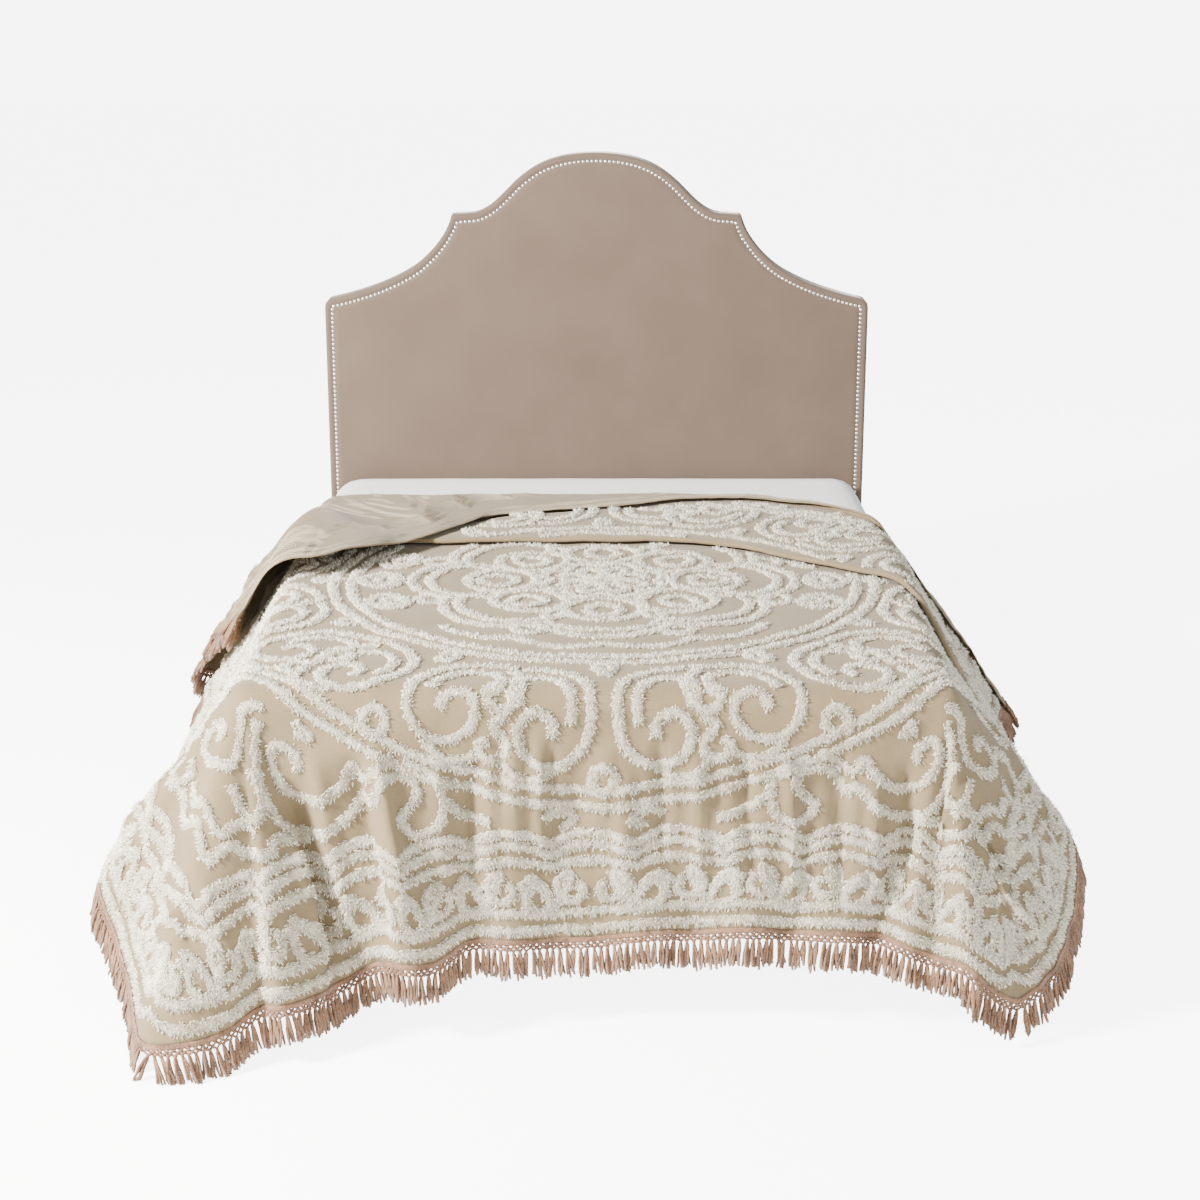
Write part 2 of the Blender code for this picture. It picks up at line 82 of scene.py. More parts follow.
# %% [markdown]
# ## Eye and light
#
# The bed is seen from its foot, from a little above head height, with a long lens. A long lens keeps
# the sides nearly parallel. The light is soft and comes from the upper left: one large lamp, a weak
# one on the right, and a pale room all round. Large lamps give the pile its small soft shadows.

# %% Camera, lamps and floor
EYE = BED_MIDDLE + (0.01, -5.356, 2.20)
EYE_PITCH = radians(16.19)
LENS_MM = 66.84
FLOOR_SIZE = 60.0
LAMPS = (
    # name, place, aimed at, width, watts, colour
    ("lamp_left", (-4.3, -2.8, 3.4), (0.0, -0.4, 0.5), 0.9, 1700.0, (1.0, 0.965, 0.92)),
    ("lamp_right", (4.2, -3.2, 2.6), (0.2, -0.4, 0.5), 3.0, 150.0, (0.96, 0.98, 1.0)),
    ("lamp_front", (0.0, -6.5, 1.6), (0.0, -1.0, 0.4), 3.0, 90.0, (1.0, 0.99, 0.97)),
)


def add_object(name, data):
    """The data as an object of the scene."""
    obj = bpy.data.objects.new(name, data)
    bpy.context.scene.collection.objects.link(obj)
    return obj


def mesh_of(bm, name):
    """The faces of the edit mesh as a mesh, which ends the editing."""
    mesh = bpy.data.meshes.new(name)
    bm.to_mesh(mesh)
    bm.free()
    return mesh


camera = add_object("camera", bpy.data.cameras.new("camera"))
camera.data.lens = LENS_MM
camera.data.sensor_width = 36.0
camera.location = EYE
camera.rotation_euler = (pi / 2 - EYE_PITCH, 0.0, 0.0)
bpy.context.scene.camera = camera


def add_lamp(name, place, target, width, watts, colour):
    lamp = bpy.data.lights.new(name, "AREA")
    lamp.size = width
    lamp.energy = watts
    lamp.color = colour
    obj = add_object(name, lamp)
    obj.location = place
    way = Vector(target) - Vector(place)
    obj.rotation_euler = way.to_track_quat("-Z", "Y").to_euler()


for lamp_row in LAMPS:
    add_lamp(*lamp_row)

ROOM_LIGHT = 0.72
ROOM_SEEN = 6.8
FLOOR_GLOW = 6.0


def pale_room():
    """A pale room that lights the bed softly, and is seen as plain white behind it."""
    room = bpy.data.worlds.new("pale_room")
    room.use_nodes = True
    tree = room.node_tree
    lighting = tree.nodes["Background"]
    lighting.inputs["Color"].default_value = (0.97, 0.985, 1.0, 1.0)
    lighting.inputs["Strength"].default_value = ROOM_LIGHT
    seen = tree.nodes.new("ShaderNodeBackground")
    seen.inputs["Color"].default_value = (1.0, 1.0, 1.0, 1.0)
    seen.inputs["Strength"].default_value = ROOM_SEEN
    rays = tree.nodes.new("ShaderNodeLightPath")
    mix = tree.nodes.new("ShaderNodeMixShader")
    tree.links.new(rays.outputs["Is Camera Ray"], mix.inputs[0])
    tree.links.new(lighting.outputs[0], mix.inputs[1])
    tree.links.new(seen.outputs[0], mix.inputs[2])
    tree.links.new(mix.outputs[0], tree.nodes["World Output"].inputs["Surface"])
    return room


bpy.context.scene.world = pale_room()


def floor_material():
    material = bpy.data.materials.new("pale_floor")
    material.use_nodes = True
    shader = material.node_tree.nodes["Principled BSDF"]
    shader.inputs["Base Color"].default_value = (0.9, 0.9, 0.9, 1.0)
    shader.inputs["Roughness"].default_value = 0.9
    shader.inputs["Emission Color"].default_value = (1.0, 1.0, 1.0, 1.0)
    rays = material.node_tree.nodes.new("ShaderNodeLightPath")
    glow = material.node_tree.nodes.new("ShaderNodeMath")
    glow.operation = "MULTIPLY"
    glow.inputs[1].default_value = FLOOR_GLOW
    material.node_tree.links.new(rays.outputs["Is Camera Ray"], glow.inputs[0])
    material.node_tree.links.new(glow.outputs[0], shader.inputs["Emission Strength"])
    return material


floor_bm = bmesh.new()
bmesh.ops.create_grid(floor_bm, x_segments=1, y_segments=1, size=FLOOR_SIZE / 2)
floor = add_object("floor", mesh_of(floor_bm, "floor"))
floor.data.materials.append(floor_material())
floor.location = (0.0, 0.0, -0.001)
print("camera at", np.round(camera.location, 3), "with", len(LAMPS), "lamps")

# %% [markdown]
# ## How the cloth lies
#
# The bedspread was cut flat, 2.59 m wide, and everything on it is placed by two flat measures:
# `across` from its middle line and `along` the bed. One function takes a flat place to its place in
# the room. On the mattress it is flat. Past the edge the cloth bends round and hangs to its hem, and
# a short table says where the hem is, one row for each fold. The pattern, the pile and the fringe use
# the same function, so they follow every fold exactly.

# %% Sizes of the cloth and its folds
CUT_HALF_WIDTH = 1.295
FOOT_DROP = 0.56
CLOTH_OFFSET = 0.005
FOLD_RADIUS = 0.055
EDGE_LEAVING_SHARE = 1.10
TUCK_STEP = 0.010
FLAP_STEP = 0.013
FLAP_PUFF = 0.045
PUFF_START = 0.76
PUFF_FULL = 1.00
TUCK_RAMP = 0.07
TUCK_FLAT_GAP = 0.04

CLOTH_TOP = MATTRESS_TOP + CLOTH_OFFSET
SIDE_PLANE = BED_WIDTH / 2 + CLOTH_OFFSET
FOOT_PLANE = -BED_LENGTH / 2 - CLOTH_OFFSET
FOOT_HEM_PLACE = FOOT_PLANE - FOOT_DROP
FOOT_TOP = FOOT_PLANE + FOLD_RADIUS
FOOT_BEND = FOOT_TOP - FOLD_RADIUS * pi / 2
TINY = 1e-9


def unit(ways):
    """The ways, each made one metre long."""
    return ways / np.maximum(np.linalg.norm(ways, axis=-1, keepdims=True), TINY)


def run_along(points):
    """How far along a line each of its points is."""
    return np.concatenate([[0.0], np.cumsum(np.linalg.norm(np.diff(points, axis=0), axis=1))])


def read_along(at, run, values):
    """The line's values at those distances along it."""
    return np.stack([np.interp(at, run, column) for column in values.T], axis=-1)


def runs_where(mask):
    """The stretches of neighbouring places where the mask holds, as lists of places."""
    cuts = np.flatnonzero(np.diff(mask.astype(int))) + 1
    return [part for part in np.split(np.arange(len(mask)), cuts) if mask[part[0]]]


# Where the hem hangs: run along the flat hem from the middle of the foot, and its place in the room
Hem = namedtuple("Hem", "run x y z")
HEM_ROWS = (
    (-3.75, -0.96, 0.86, 0.26), (-3.45, -1.01, 0.57, 0.27), (-3.20, -1.05, 0.33, 0.28),
    (-2.98, -1.02, 0.11, 0.26), (-2.75, -1.04, -0.12, 0.27), (-2.50, -0.99, -0.36, 0.25),
    (-2.28, -1.03, -0.57, 0.27), (-2.10, -1.02, -0.73, 0.265), (-1.95, -1.065, -0.83, 0.29),
    (-1.82, -1.07, -0.91, 0.26), (-1.68, -1.035, -0.96, 0.195), (-1.55, -0.995, -1.03, 0.13),
    (-1.42, -0.96, -1.13, 0.09), (-1.295, -0.915, -1.26, 0.072), (-1.18, -0.83, -1.275, 0.078),
    (-1.07, -0.755, -1.25, 0.09), (-0.97, -0.69, -1.20, 0.12), (-0.87, -0.64, -1.215, 0.13),
    (-0.78, -0.58, -1.16, 0.125), (-0.69, -0.53, -1.075, 0.12), (-0.60, -0.46, -1.08, 0.165),
    (-0.50, -0.40, -1.14, 0.185), (-0.40, -0.34, -1.115, 0.18), (-0.30, -0.27, -1.05, 0.20),
    (-0.20, -0.19, -1.07, 0.21), (-0.10, -0.10, -1.05, 0.205), (0.01, 0.0, -1.04, 0.205),
    (0.12, 0.115, -1.055, 0.225), (0.22, 0.21, -1.04, 0.22), (0.34, 0.32, -1.075, 0.24),
    (0.45, 0.41, -1.05, 0.225), (0.56, 0.50, -1.085, 0.235), (0.68, 0.59, -1.06, 0.22),
    (0.79, 0.65, -1.10, 0.21), (0.90, 0.71, -1.09, 0.185), (1.01, 0.765, -1.15, 0.19),
    (1.13, 0.81, -1.15, 0.15), (1.295, 0.88, -1.12, 0.10), (1.42, 0.925, -1.10, 0.12),
    (1.55, 0.965, -1.05, 0.14), (1.68, 1.0, -1.0, 0.17), (1.80, 1.03, -0.91, 0.185),
    (1.92, 1.05, -0.85, 0.245), (2.05, 1.06, -0.77, 0.31), (2.22, 1.03, -0.62, 0.28),
    (2.42, 1.0, -0.45, 0.26), (2.62, 1.02, -0.25, 0.265), (2.85, 0.99, -0.02, 0.25),
    (3.05, 1.055, 0.17, 0.27), (3.25, 1.08, 0.36, 0.27), (3.75, 1.04, 0.86, 0.26),
)
HEM_LINE = [Hem(*row) for row in HEM_ROWS]

# The head end by columns of cloth: the tuck's lip, how far it runs under, the head fold, the flap's
# width, and how far it is drawn towards the middle for each metre of width
Head = namedtuple("Head", "across lip tuck tuck_share fold flap slew")
HEAD_ROWS = (
    (-1.295, 0.10, 0.03, 0.0, 0.47, 0.60, 0.65), (-1.05, 0.12, 0.03, 0.0, 0.55, 0.72, 0.52),
    (-0.90, 0.13, 0.03, 0.0, 0.61, 0.67, 0.50), (-0.77, 0.14, 0.03, 0.0, 0.64, 0.58, 0.50),
    (-0.66, 0.14, 0.035, 0.0, 0.65, 0.50, 0.50), (-0.52, 0.14, 0.05, 1.0, 0.655, 0.38, 0.50),
    (-0.40, 0.14, 0.11, 1.0, 0.66, 0.27, 0.50), (-0.20, 0.155, 0.22, 1.0, 0.665, 0.20, 0.50),
    (0.0, 0.16, 0.27, 1.0, 0.665, 0.14, 0.50), (0.20, 0.15, 0.30, 1.0, 0.665, 0.065, 0.50),
    (0.35, 0.10, 0.34, 1.0, 0.655, 0.04, 0.50), (0.49, -0.02, 0.38, 1.0, 0.63, 0.04, 0.50),
    (0.63, -0.13, 0.42, 1.0, 0.55, 0.04, 0.50), (0.72, -0.22, 0.44, 1.0, 0.43, 0.04, 0.50),
    (0.80, -0.37, 0.45, 1.0, 0.36, 0.04, 0.50), (0.95, -0.47, 0.47, 1.0, 0.34, 0.04, 0.50),
    (1.295, -0.52, 0.47, 1.0, 0.36, 0.04, 0.50),
)
HEAD_LINE = [Head(*row) for row in HEAD_ROWS]

# %% [markdown]
# A table with a row for each fold is easy to correct, but its straight steps would show as kinks. A
# smooth curve through the rows keeps each row's place and rounds the cloth between them.

# %% A smooth curve through a table
def smooth_table(rows, key):
    """A function that reads the table at any place, on a smooth curve through its rows."""
    at = np.array([getattr(row, key) for row in rows])
    fields = [name for name in rows[0]._fields if name != key]
    values = np.array([[getattr(row, name) for name in fields] for row in rows])
    steps = np.diff(at)[:, None]
    slopes = np.diff(values, axis=0) / steps
    tangent = np.zeros_like(values)
    tangent[1:-1] = (slopes[:-1] * steps[1:] + slopes[1:] * steps[:-1]) / (steps[1:] + steps[:-1])
    tangent[0] = slopes[0]
    tangent[-1] = slopes[-1]

    def read(place):
        place = np.clip(np.asarray(place, float), at[0], at[-1])
        i = np.clip(np.searchsorted(at, place) - 1, 0, len(at) - 2)
        step = (at[i + 1] - at[i])[..., None]
        t = (place - at[i])[..., None] / step
        rise = (3 - 2 * t) * t * t
        bend = t * (1 - t) ** 2 * tangent[i] - t * t * (1 - t) * tangent[i + 1]
        return values[i] * (1 - rise) + values[i + 1] * rise + step * bend

    return read


hem_at = smooth_table(HEM_LINE, "run")
head_at = smooth_table(HEAD_LINE, "across")


def smoothstep(low, high, value):
    t = np.clip((value - low) / (high - low), 0.0, 1.0)
    return t * t * (3 - 2 * t)


def head_columns(across):
    """The head table at many columns: lip, tuck, share, fold, flap, slew."""
    lip, tuck, share, fold, flap, slew = np.moveaxis(head_at(across), -1, 0)
    return lip, np.maximum(tuck, 0.0), np.clip(share, 0.0, 1.0), fold, flap, slew


print("hem rows", len(HEM_LINE), "head rows", len(HEAD_LINE))

# %% [markdown]
# From the mattress edge, the cloth bends round a quarter circle and then runs straight to the hem's
# place in the table. Simulating the cloth would also work, but a formula gives the same folds every
# time, and anything can be laid on it later.

# %% From a flat place to its place in the room
def drape(across, along):
    """Places of a single layer: on the mattress, round its edge, or hanging to the hem."""
    inner = SIDE_PLANE - FOLD_RADIUS
    root_x = np.clip(across, -inner, inner)
    root_y = np.maximum(along, FOOT_TOP)
    over_x = across - root_x
    over_y = along - root_y
    distance = np.hypot(over_x, over_y)
    length = np.maximum(distance, TINY)
    way_x = over_x / length
    way_y = over_y / length
    to_side = (CUT_HALF_WIDTH - inner) / np.maximum(np.abs(way_x), TINY)
    to_foot = (FOOT_TOP - FOOT_HEM_PLACE) / np.maximum(-way_y, TINY)
    reach = np.minimum(to_side, to_foot)
    side_run = CUT_HALF_WIDTH + root_y + way_y * reach - FOOT_HEM_PLACE
    run = np.where(to_foot < to_side, root_x + way_x * reach, np.sign(way_x) * side_run)
    hem_x, hem_y, hem_z = np.moveaxis(hem_at(run), -1, 0)
    out = (hem_x - root_x) * way_x + (hem_y - root_y) * way_y - FOLD_RADIUS
    out = np.maximum(out, 0.0)
    bend = pi / 2 - np.arctan2(EDGE_LEAVING_SHARE * out, CLOTH_TOP - FOLD_RADIUS - hem_z)
    arc = FOLD_RADIUS * bend
    turned = np.minimum(distance / FOLD_RADIUS, bend)
    start_out = FOLD_RADIUS * np.sin(turned)
    start_x = root_x + way_x * start_out
    start_y = root_y + way_y * start_out
    start_z = CLOTH_TOP - FOLD_RADIUS * (1 - np.cos(turned))
    part = np.maximum(distance - arc, 0.0) / np.maximum(reach - arc, TINY)
    swing = part * (EDGE_LEAVING_SHARE + (1 - EDGE_LEAVING_SHARE) * np.minimum(part, 1.0))
    x = start_x + (hem_x - start_x) * swing
    y = start_y + (hem_y - start_y) * swing
    z = start_z + (hem_z - start_z) * part
    return np.stack([x, y, z], axis=-1)


def tuck_height(across, along):
    """How high the cloth that runs over the tuck lies."""
    lip, tuck, share, _, _, _ = head_columns(across)
    back = lip + tuck
    return 2 * TUCK_STEP * share * (1 - smoothstep(back + TUCK_STEP, back + TUCK_STEP + TUCK_RAMP, along))


def flap_height(across):
    """How far the turned-back flap stands off the layer under it: puffed where it hangs at the left."""
    return FLAP_STEP + FLAP_PUFF * smoothstep(PUFF_START, PUFF_FULL, -across)


sample_places = drape(np.array([0.0, 0.9, 0.0]), np.array([-0.2, -0.2, -1.3]))
print("three places on the cloth:", sample_places.round(3).tolist())

# %% [markdown]
# ## Small folds
#
# The hem table gives the large folds. Cotton also shows narrow creases that run down the drop, and
# between the lines of pile the cloth puffs up a little, because the stitching draws it together.
# The creases are a table, with a few more at seeded random places, and each is a soft ridge or trough.
# They raise the cloth along its own normal, and the pile and fringe read the same height.

# %% Creases down the drop, and the height that they give
Crease = namedtuple("Crease", "top hem width height start end")
# Across at the mattress edge, across at the hem, half width, height, start and end down the drop
CREASE_ROWS = (
    (-0.700, -0.745, 0.016, 0.010, 0.35, 1.05), (-0.665, -0.700, 0.022, -0.012, 0.20, 1.05),
    (-0.600, -0.640, 0.020, 0.008, 0.10, 0.95), (-0.520, -0.560, 0.030, -0.014, 0.10, 1.00),
    (-0.462, -0.470, 0.018, 0.009, 0.05, 0.85), (-0.330, -0.360, 0.024, 0.007, 0.10, 0.90),
    (-0.262, -0.285, 0.014, -0.007, 0.15, 0.80), (-0.170, -0.175, 0.020, 0.006, 0.00, 0.70),
    (-0.095, -0.100, 0.012, -0.005, 0.05, 0.60), (0.050, 0.060, 0.020, 0.005, 0.20, 0.80),
    (0.130, 0.150, 0.014, -0.006, 0.05, 0.75), (0.205, 0.240, 0.020, 0.007, 0.10, 0.90),
    (0.300, 0.350, 0.018, -0.008, 0.10, 0.90), (0.400, 0.450, 0.016, 0.008, 0.15, 0.95),
    (0.500, 0.570, 0.022, -0.009, 0.10, 1.00), (0.575, 0.660, 0.014, 0.009, 0.20, 0.95),
    (0.640, 0.760, 0.020, -0.007, 0.15, 0.90),
)
MORE_CREASES = 90
CREASE_SEED = 11
CREASE_STRENGTH = 2.5
CREASE_REACH = 3.4
CREASE_WIDTHS = (0.010, 0.026)
CREASE_HEIGHTS = (0.002, 0.006)
CREASE_SLANT = 0.05
SIDE_RUN = 1.3
START_RAMP = 0.18
END_RAMP = 0.25
SWELL_HEIGHT = 0.0022
RIPPLE_SHARE = 0.25
DROP_SWELL = 1.2


def seeded_creases(seed, count):
    """More creases round all three sides, by their run along the hem."""
    draw = np.random.default_rng(seed)
    found = []
    for run in draw.uniform(-CREASE_REACH, CREASE_REACH, count):
        width = draw.uniform(*CREASE_WIDTHS)
        deeper = 1.0 + 0.5 * (abs(run) > SIDE_RUN)
        height = draw.choice((-1.0, 1.0)) * draw.uniform(*CREASE_HEIGHTS) * deeper
        start = draw.uniform(0.0, 0.5)
        end = start + draw.uniform(0.3, 0.7)
        top = run - draw.uniform(-CREASE_SLANT, CREASE_SLANT)
        found.append(Crease(top, run, width, height, start, end))
    return found


def wander(seed, longest, shortest, waves=14):
    """A smooth random field over the flat cloth, from a few crossing waves: about -1 to 1."""
    draw = np.random.default_rng(seed)
    lengths = draw.uniform(shortest, longest, waves)
    turns = draw.uniform(0, 2 * pi, waves)
    shifts = draw.uniform(0, 2 * pi, waves)

    def read(across, along):
        total = 0.0
        for length, way, shift in zip(lengths, turns, shifts):
            total = total + np.sin(2 * pi * (across * cos(way) + along * sin(way)) / length + shift)
        return total / np.sqrt(waves / 2) / 2

    return read


CREASES = [Crease(*row) for row in CREASE_ROWS] + seeded_creases(CREASE_SEED, MORE_CREASES)
swell = wander(3, 0.34, 0.10)
ripple = wander(4, 0.060, 0.024)


def drop_of(across, along):
    """(run along the hem, share of the drop) of flat places. The share is 0 at the mattress edge."""
    foot_down = (FOOT_BEND - along) / (FOOT_BEND - FOOT_HEM_PLACE)
    side_edge = SIDE_PLANE - FOLD_RADIUS + FOLD_RADIUS * pi / 2
    side_down = (np.abs(across) - side_edge) / (CUT_HALF_WIDTH - side_edge)
    on_foot = foot_down > side_down
    down = np.maximum(np.maximum(foot_down, side_down), 0.0)
    side_run = np.sign(across) * (CUT_HALF_WIDTH + along - FOOT_HEM_PLACE)
    return np.where(on_foot, across, side_run), down


def small_folds(across, along):
    """How far the creases and the slow swell raise the cloth."""
    run, down = drop_of(across, along)
    height = SWELL_HEIGHT * (swell(across, along) + RIPPLE_SHARE * ripple(across, along))
    height = height * (1.0 + DROP_SWELL * np.minimum(down * 3, 1.0))
    for crease in CREASES:
        middle = crease.top + (crease.hem - crease.top) * down
        shape = np.exp(-(((run - middle) / crease.width) ** 2))
        ends = smoothstep(crease.start, crease.start + START_RAMP, down)
        ends = ends * (1 - smoothstep(crease.end - END_RAMP, crease.end, down))
        height = height + CREASE_STRENGTH * crease.height * shape * ends
    return height


NORMAL_STEP = 0.004


def lifted(across, along, height):
    """Flat places raised off the single layer along its normal."""
    across = np.asarray(across, float)
    along = np.asarray(along, float)
    side = drape(across + NORMAL_STEP, along) - drape(across - NORMAL_STEP, along)
    ahead = drape(across, along + NORMAL_STEP) - drape(across, along - NORMAL_STEP)
    normal = unit(np.cross(side, ahead))
    raised = np.asarray(height) + small_folds(across, along)
    return BED_MIDDLE + drape(across, along) + normal * raised[..., None], normal


print(len(CREASES), "creases")

# %% [markdown]
# ## The pattern
#
# The pattern is drawn flat, in metres from the middle of its medallion, and only then laid on the bed.
# It repeats itself, so only a few strokes are written: wavy rings, petals and leaves for the medallion,
# half of one scroll unit for the band round it, a quarter of the corners outside the band, and a border
# of wavy lines with a running scroll. The band has twelve units. Rings and petals are formulas.

# %% Rings, petals and scalloped lines
MEDALLION_ACROSS = 0.02
MEDALLION_ALONG = -0.19
STROKE_STEP = 0.0075


def ring(radius, lobes=0, depth=0.0, turn=0.0, squash=1.0, cusp=1.0):
    """A closed ring whose radius swells out into that many lobes. A low cusp makes pointed notches."""
    angle = np.linspace(0, 2 * pi, 721)
    lobe = np.abs(np.cos(lobes * angle / 2 + turn)) ** cusp if lobes else 0.0
    r = radius + depth * lobe
    return np.stack([r * np.cos(angle), r * np.sin(angle) * squash], axis=-1)


def petal(middle, length, width, angle, point=0.0):
    """A closed petal that points outwards from the middle, at that distance and angle."""
    t = np.linspace(0, 2 * pi, 91)
    taper = 1 - point * (1 + np.cos(t)) / 2
    x = middle + length / 2 * np.cos(t)
    y = width / 2 * np.sin(t) * taper
    return np.stack([x * cos(angle) - y * sin(angle), x * sin(angle) + y * cos(angle)], axis=-1)


def leaf(near, far, width, angle):
    """A pointed leaf, open at its near end, from that distance out to its point."""
    t = np.linspace(0, 1, 40)
    x = near + (far - near) * t
    y = width / 2 * np.sin(pi * t**0.75) ** 0.8
    side = np.stack([x, y], axis=-1)
    outline = np.concatenate([side, side[::-1] * (1, -1)])
    turn_by = np.array([[cos(angle), sin(angle)], [-sin(angle), cos(angle)]])
    return outline @ turn_by


def medallion():
    """The rosette, and the wavy rings and leaves round it."""
    found = [
        ring(0.018),
        ring(0.118, 8, 0.036, turn=pi / 2, cusp=0.7),
        ring(0.340, 8, 0.078, cusp=0.6),
        ring(0.384, 8, 0.078, cusp=0.7),
        ring(0.508, 16, 0.030, turn=pi / 2, cusp=0.7)[90:271],
        ring(0.508, 16, 0.030, turn=pi / 2, cusp=0.7)[450:631],
        ring(0.604),
        ring(0.648),
    ]
    for k in range(8):
        angle = k * pi / 4
        between = angle + pi / 8
        found.append(petal(0.072, 0.074, 0.050, between))
        found.append(petal(0.246, 0.168, 0.190, angle, point=0.10))
        found.append(petal(0.256, 0.092, 0.092, angle, point=0.35))
        found.append(petal(0.300, 0.070, 0.052, between, point=0.5))
        found.append(petal(0.440, 0.060, 0.086, between, point=0.4))
    for side in (0.0, pi):
        for spread in (-0.34, 0.0, 0.34):
            found.append(leaf(0.490, 0.588, 0.120, side + spread))
            found.append(leaf(0.500, 0.548, 0.056, side + spread))
    return found


# %% [markdown]
# ### Two kinds of scroll
#
# The border's running scroll is two curls joined by a smooth S, like the stroke of a pen. The freer scrolls
# are smooth strokes through a few listed places. Both are only lists of flat places, so the same pile can be
# laid along either.

# %% Strokes of scrolls
Curl = namedtuple("Curl", "x y radius inner start sweep")


def curl_points(curl):
    """From the curl's open end round to its inner end."""
    share = np.linspace(0, 1, 60)
    angle = np.radians(curl.start + curl.sweep * share)
    radius = curl.radius + (curl.inner - curl.radius) * share
    return np.stack([curl.x + radius * np.cos(angle), curl.y + radius * np.sin(angle)], axis=-1)


def join(start, start_way, end, end_way):
    """A smooth cubic between two open ends."""
    pull = np.linalg.norm(end - start)
    t = np.linspace(0, 1, 30)[:, None]
    return (
        (2 * t**3 - 3 * t**2 + 1) * start
        + (t**3 - 2 * t**2 + t) * start_way * pull
        + (-2 * t**3 + 3 * t**2) * end
        + (t**3 - t**2) * end_way * pull
    )


def scroll(first, second):
    """One stroke: out of the first curl, across, and into the second."""
    out = curl_points(first)[::-1]
    into = curl_points(second)
    leave = (out[-1] - out[-2]) / np.linalg.norm(out[-1] - out[-2])
    arrive = (into[1] - into[0]) / np.linalg.norm(into[1] - into[0])
    return np.concatenate([out, join(out[-1], leave, into[0], arrive)[1:-1], into])


def through(*places):
    """A smooth stroke through the places."""
    places = np.array(places)
    tangent = np.gradient(places, axis=0)
    found = []
    for i in range(len(places) - 1):
        t = np.linspace(0, 1, 12, endpoint=False)[:, None]
        rise = (3 - 2 * t) * t * t
        found.append(
            places[i] * (1 - rise)
            + places[i + 1] * rise
            + t * (1 - t) ** 2 * tangent[i]
            - t * t * (1 - t) * tangent[i + 1]
        )
    return np.concatenate([*found, places[-1:]])


# The band between the medallion and the outer ring, for half of one of its units, whose axis points
# down the bed: x across from that axis, y out from the middle of the medallion
BAND_UNITS = 12
BAND_SQUASH = 0.955
OVAL_HOOK = (
    (0.180, 0.690), (0.105, 0.712), (0.046, 0.768), (0.028, 0.850), (0.046, 0.932), (0.104, 0.978),
    (0.166, 0.958), (0.190, 0.898), (0.160, 0.852), (0.116, 0.868), (0.112, 0.912),
)
INNER_HOOK = (
    (0.072, 0.880), (0.074, 0.812), (0.118, 0.758), (0.178, 0.762), (0.202, 0.810), (0.176, 0.838),
)
LINK = ((0.112, 0.982), (0.152, 1.006), (0.200, 0.996), (0.232, 0.962))
# On the axis between two units
STEM_SPIRAL = (
    (-0.012, 0.735), (0.022, 0.780), (0.034, 0.838), (0.006, 0.878), (-0.030, 0.862), (-0.028, 0.826),
    (-0.004, 0.824),
)
LOW_SPIRAL = (
    (0.020, 0.880), (-0.006, 0.912), (0.030, 0.944), (0.026, 0.984), (-0.014, 0.992), (-0.026, 0.962),
    (-0.006, 0.950),
)
# The corners outside the outer ring, for one quarter of the cloth
CORNER_STROKES = (
    # the two cusped lines that leave the ring, each ending in a volute
    ((0.452, 0.940), (0.492, 0.972), (0.536, 1.000)),
    ((0.536, 1.000), (0.548, 0.962), (0.586, 1.010), (0.648, 1.034), (0.704, 1.008), (0.722, 0.950),
     (0.694, 0.916), (0.662, 0.936), (0.668, 0.972)),
    ((0.428, 1.050), (0.404, 1.020), (0.430, 0.988), (0.480, 0.992), (0.520, 1.052)),
    ((0.520, 1.052), (0.546, 1.030), (0.596, 1.080), (0.672, 1.100), (0.742, 1.068), (0.768, 1.000),
     (0.752, 0.920), (0.716, 0.866)),
    ((0.432, 0.956), (0.372, 0.990), (0.352, 1.046), (0.372, 1.100), (0.424, 1.112), (0.456, 1.076),
     (0.428, 1.050)),
    ((0.350, 1.050), (0.300, 1.090), (0.240, 1.104)),
    # volutes, leaf loops and short links towards the cloth's corner
    ((0.700, 0.838), (0.752, 0.846), (0.790, 0.900), (0.832, 0.930), (0.880, 0.906), (0.890, 0.850),
     (0.850, 0.822), (0.820, 0.848), (0.838, 0.876)),
    ((0.782, 0.950), (0.776, 1.010), (0.808, 1.046), (0.846, 1.020), (0.850, 0.962)),
    ((0.880, 0.800), (0.930, 0.760), (0.985, 0.790), (0.990, 0.850), (0.952, 0.872), (0.928, 0.842)),
    ((0.800, 0.742), (0.848, 0.700), (0.908, 0.690), (0.960, 0.640), (0.966, 0.570), (0.926, 0.544),
     (0.898, 0.576)),
    ((0.930, 0.480), (0.985, 0.440), (0.990, 0.380), (0.962, 0.360)),
    ((0.640, 0.866), (0.622, 0.910), (0.652, 0.890)),
    # stepped lines that turn the field's corner
    ((0.690, 1.112), (0.770, 1.088), (0.800, 1.112), (0.880, 1.098), (0.905, 1.068), (0.985, 1.088)),
    ((0.985, 1.088), (0.968, 1.010), (1.004, 0.975), (0.992, 0.900), (1.008, 0.820)),
    ((0.820, 1.070), (0.862, 1.040), (0.930, 1.046)),
    ((0.930, 1.046), (0.932, 0.985), (0.958, 0.950), (0.950, 0.890)),
    ((0.130, 1.100), (0.090, 1.082), (0.060, 1.104), (0.090, 1.124)),
)


def turned(points, angle):
    x, y = points[:, 0], points[:, 1]
    return np.stack([x * cos(angle) + y * sin(angle), y * cos(angle) - x * sin(angle)], axis=-1)


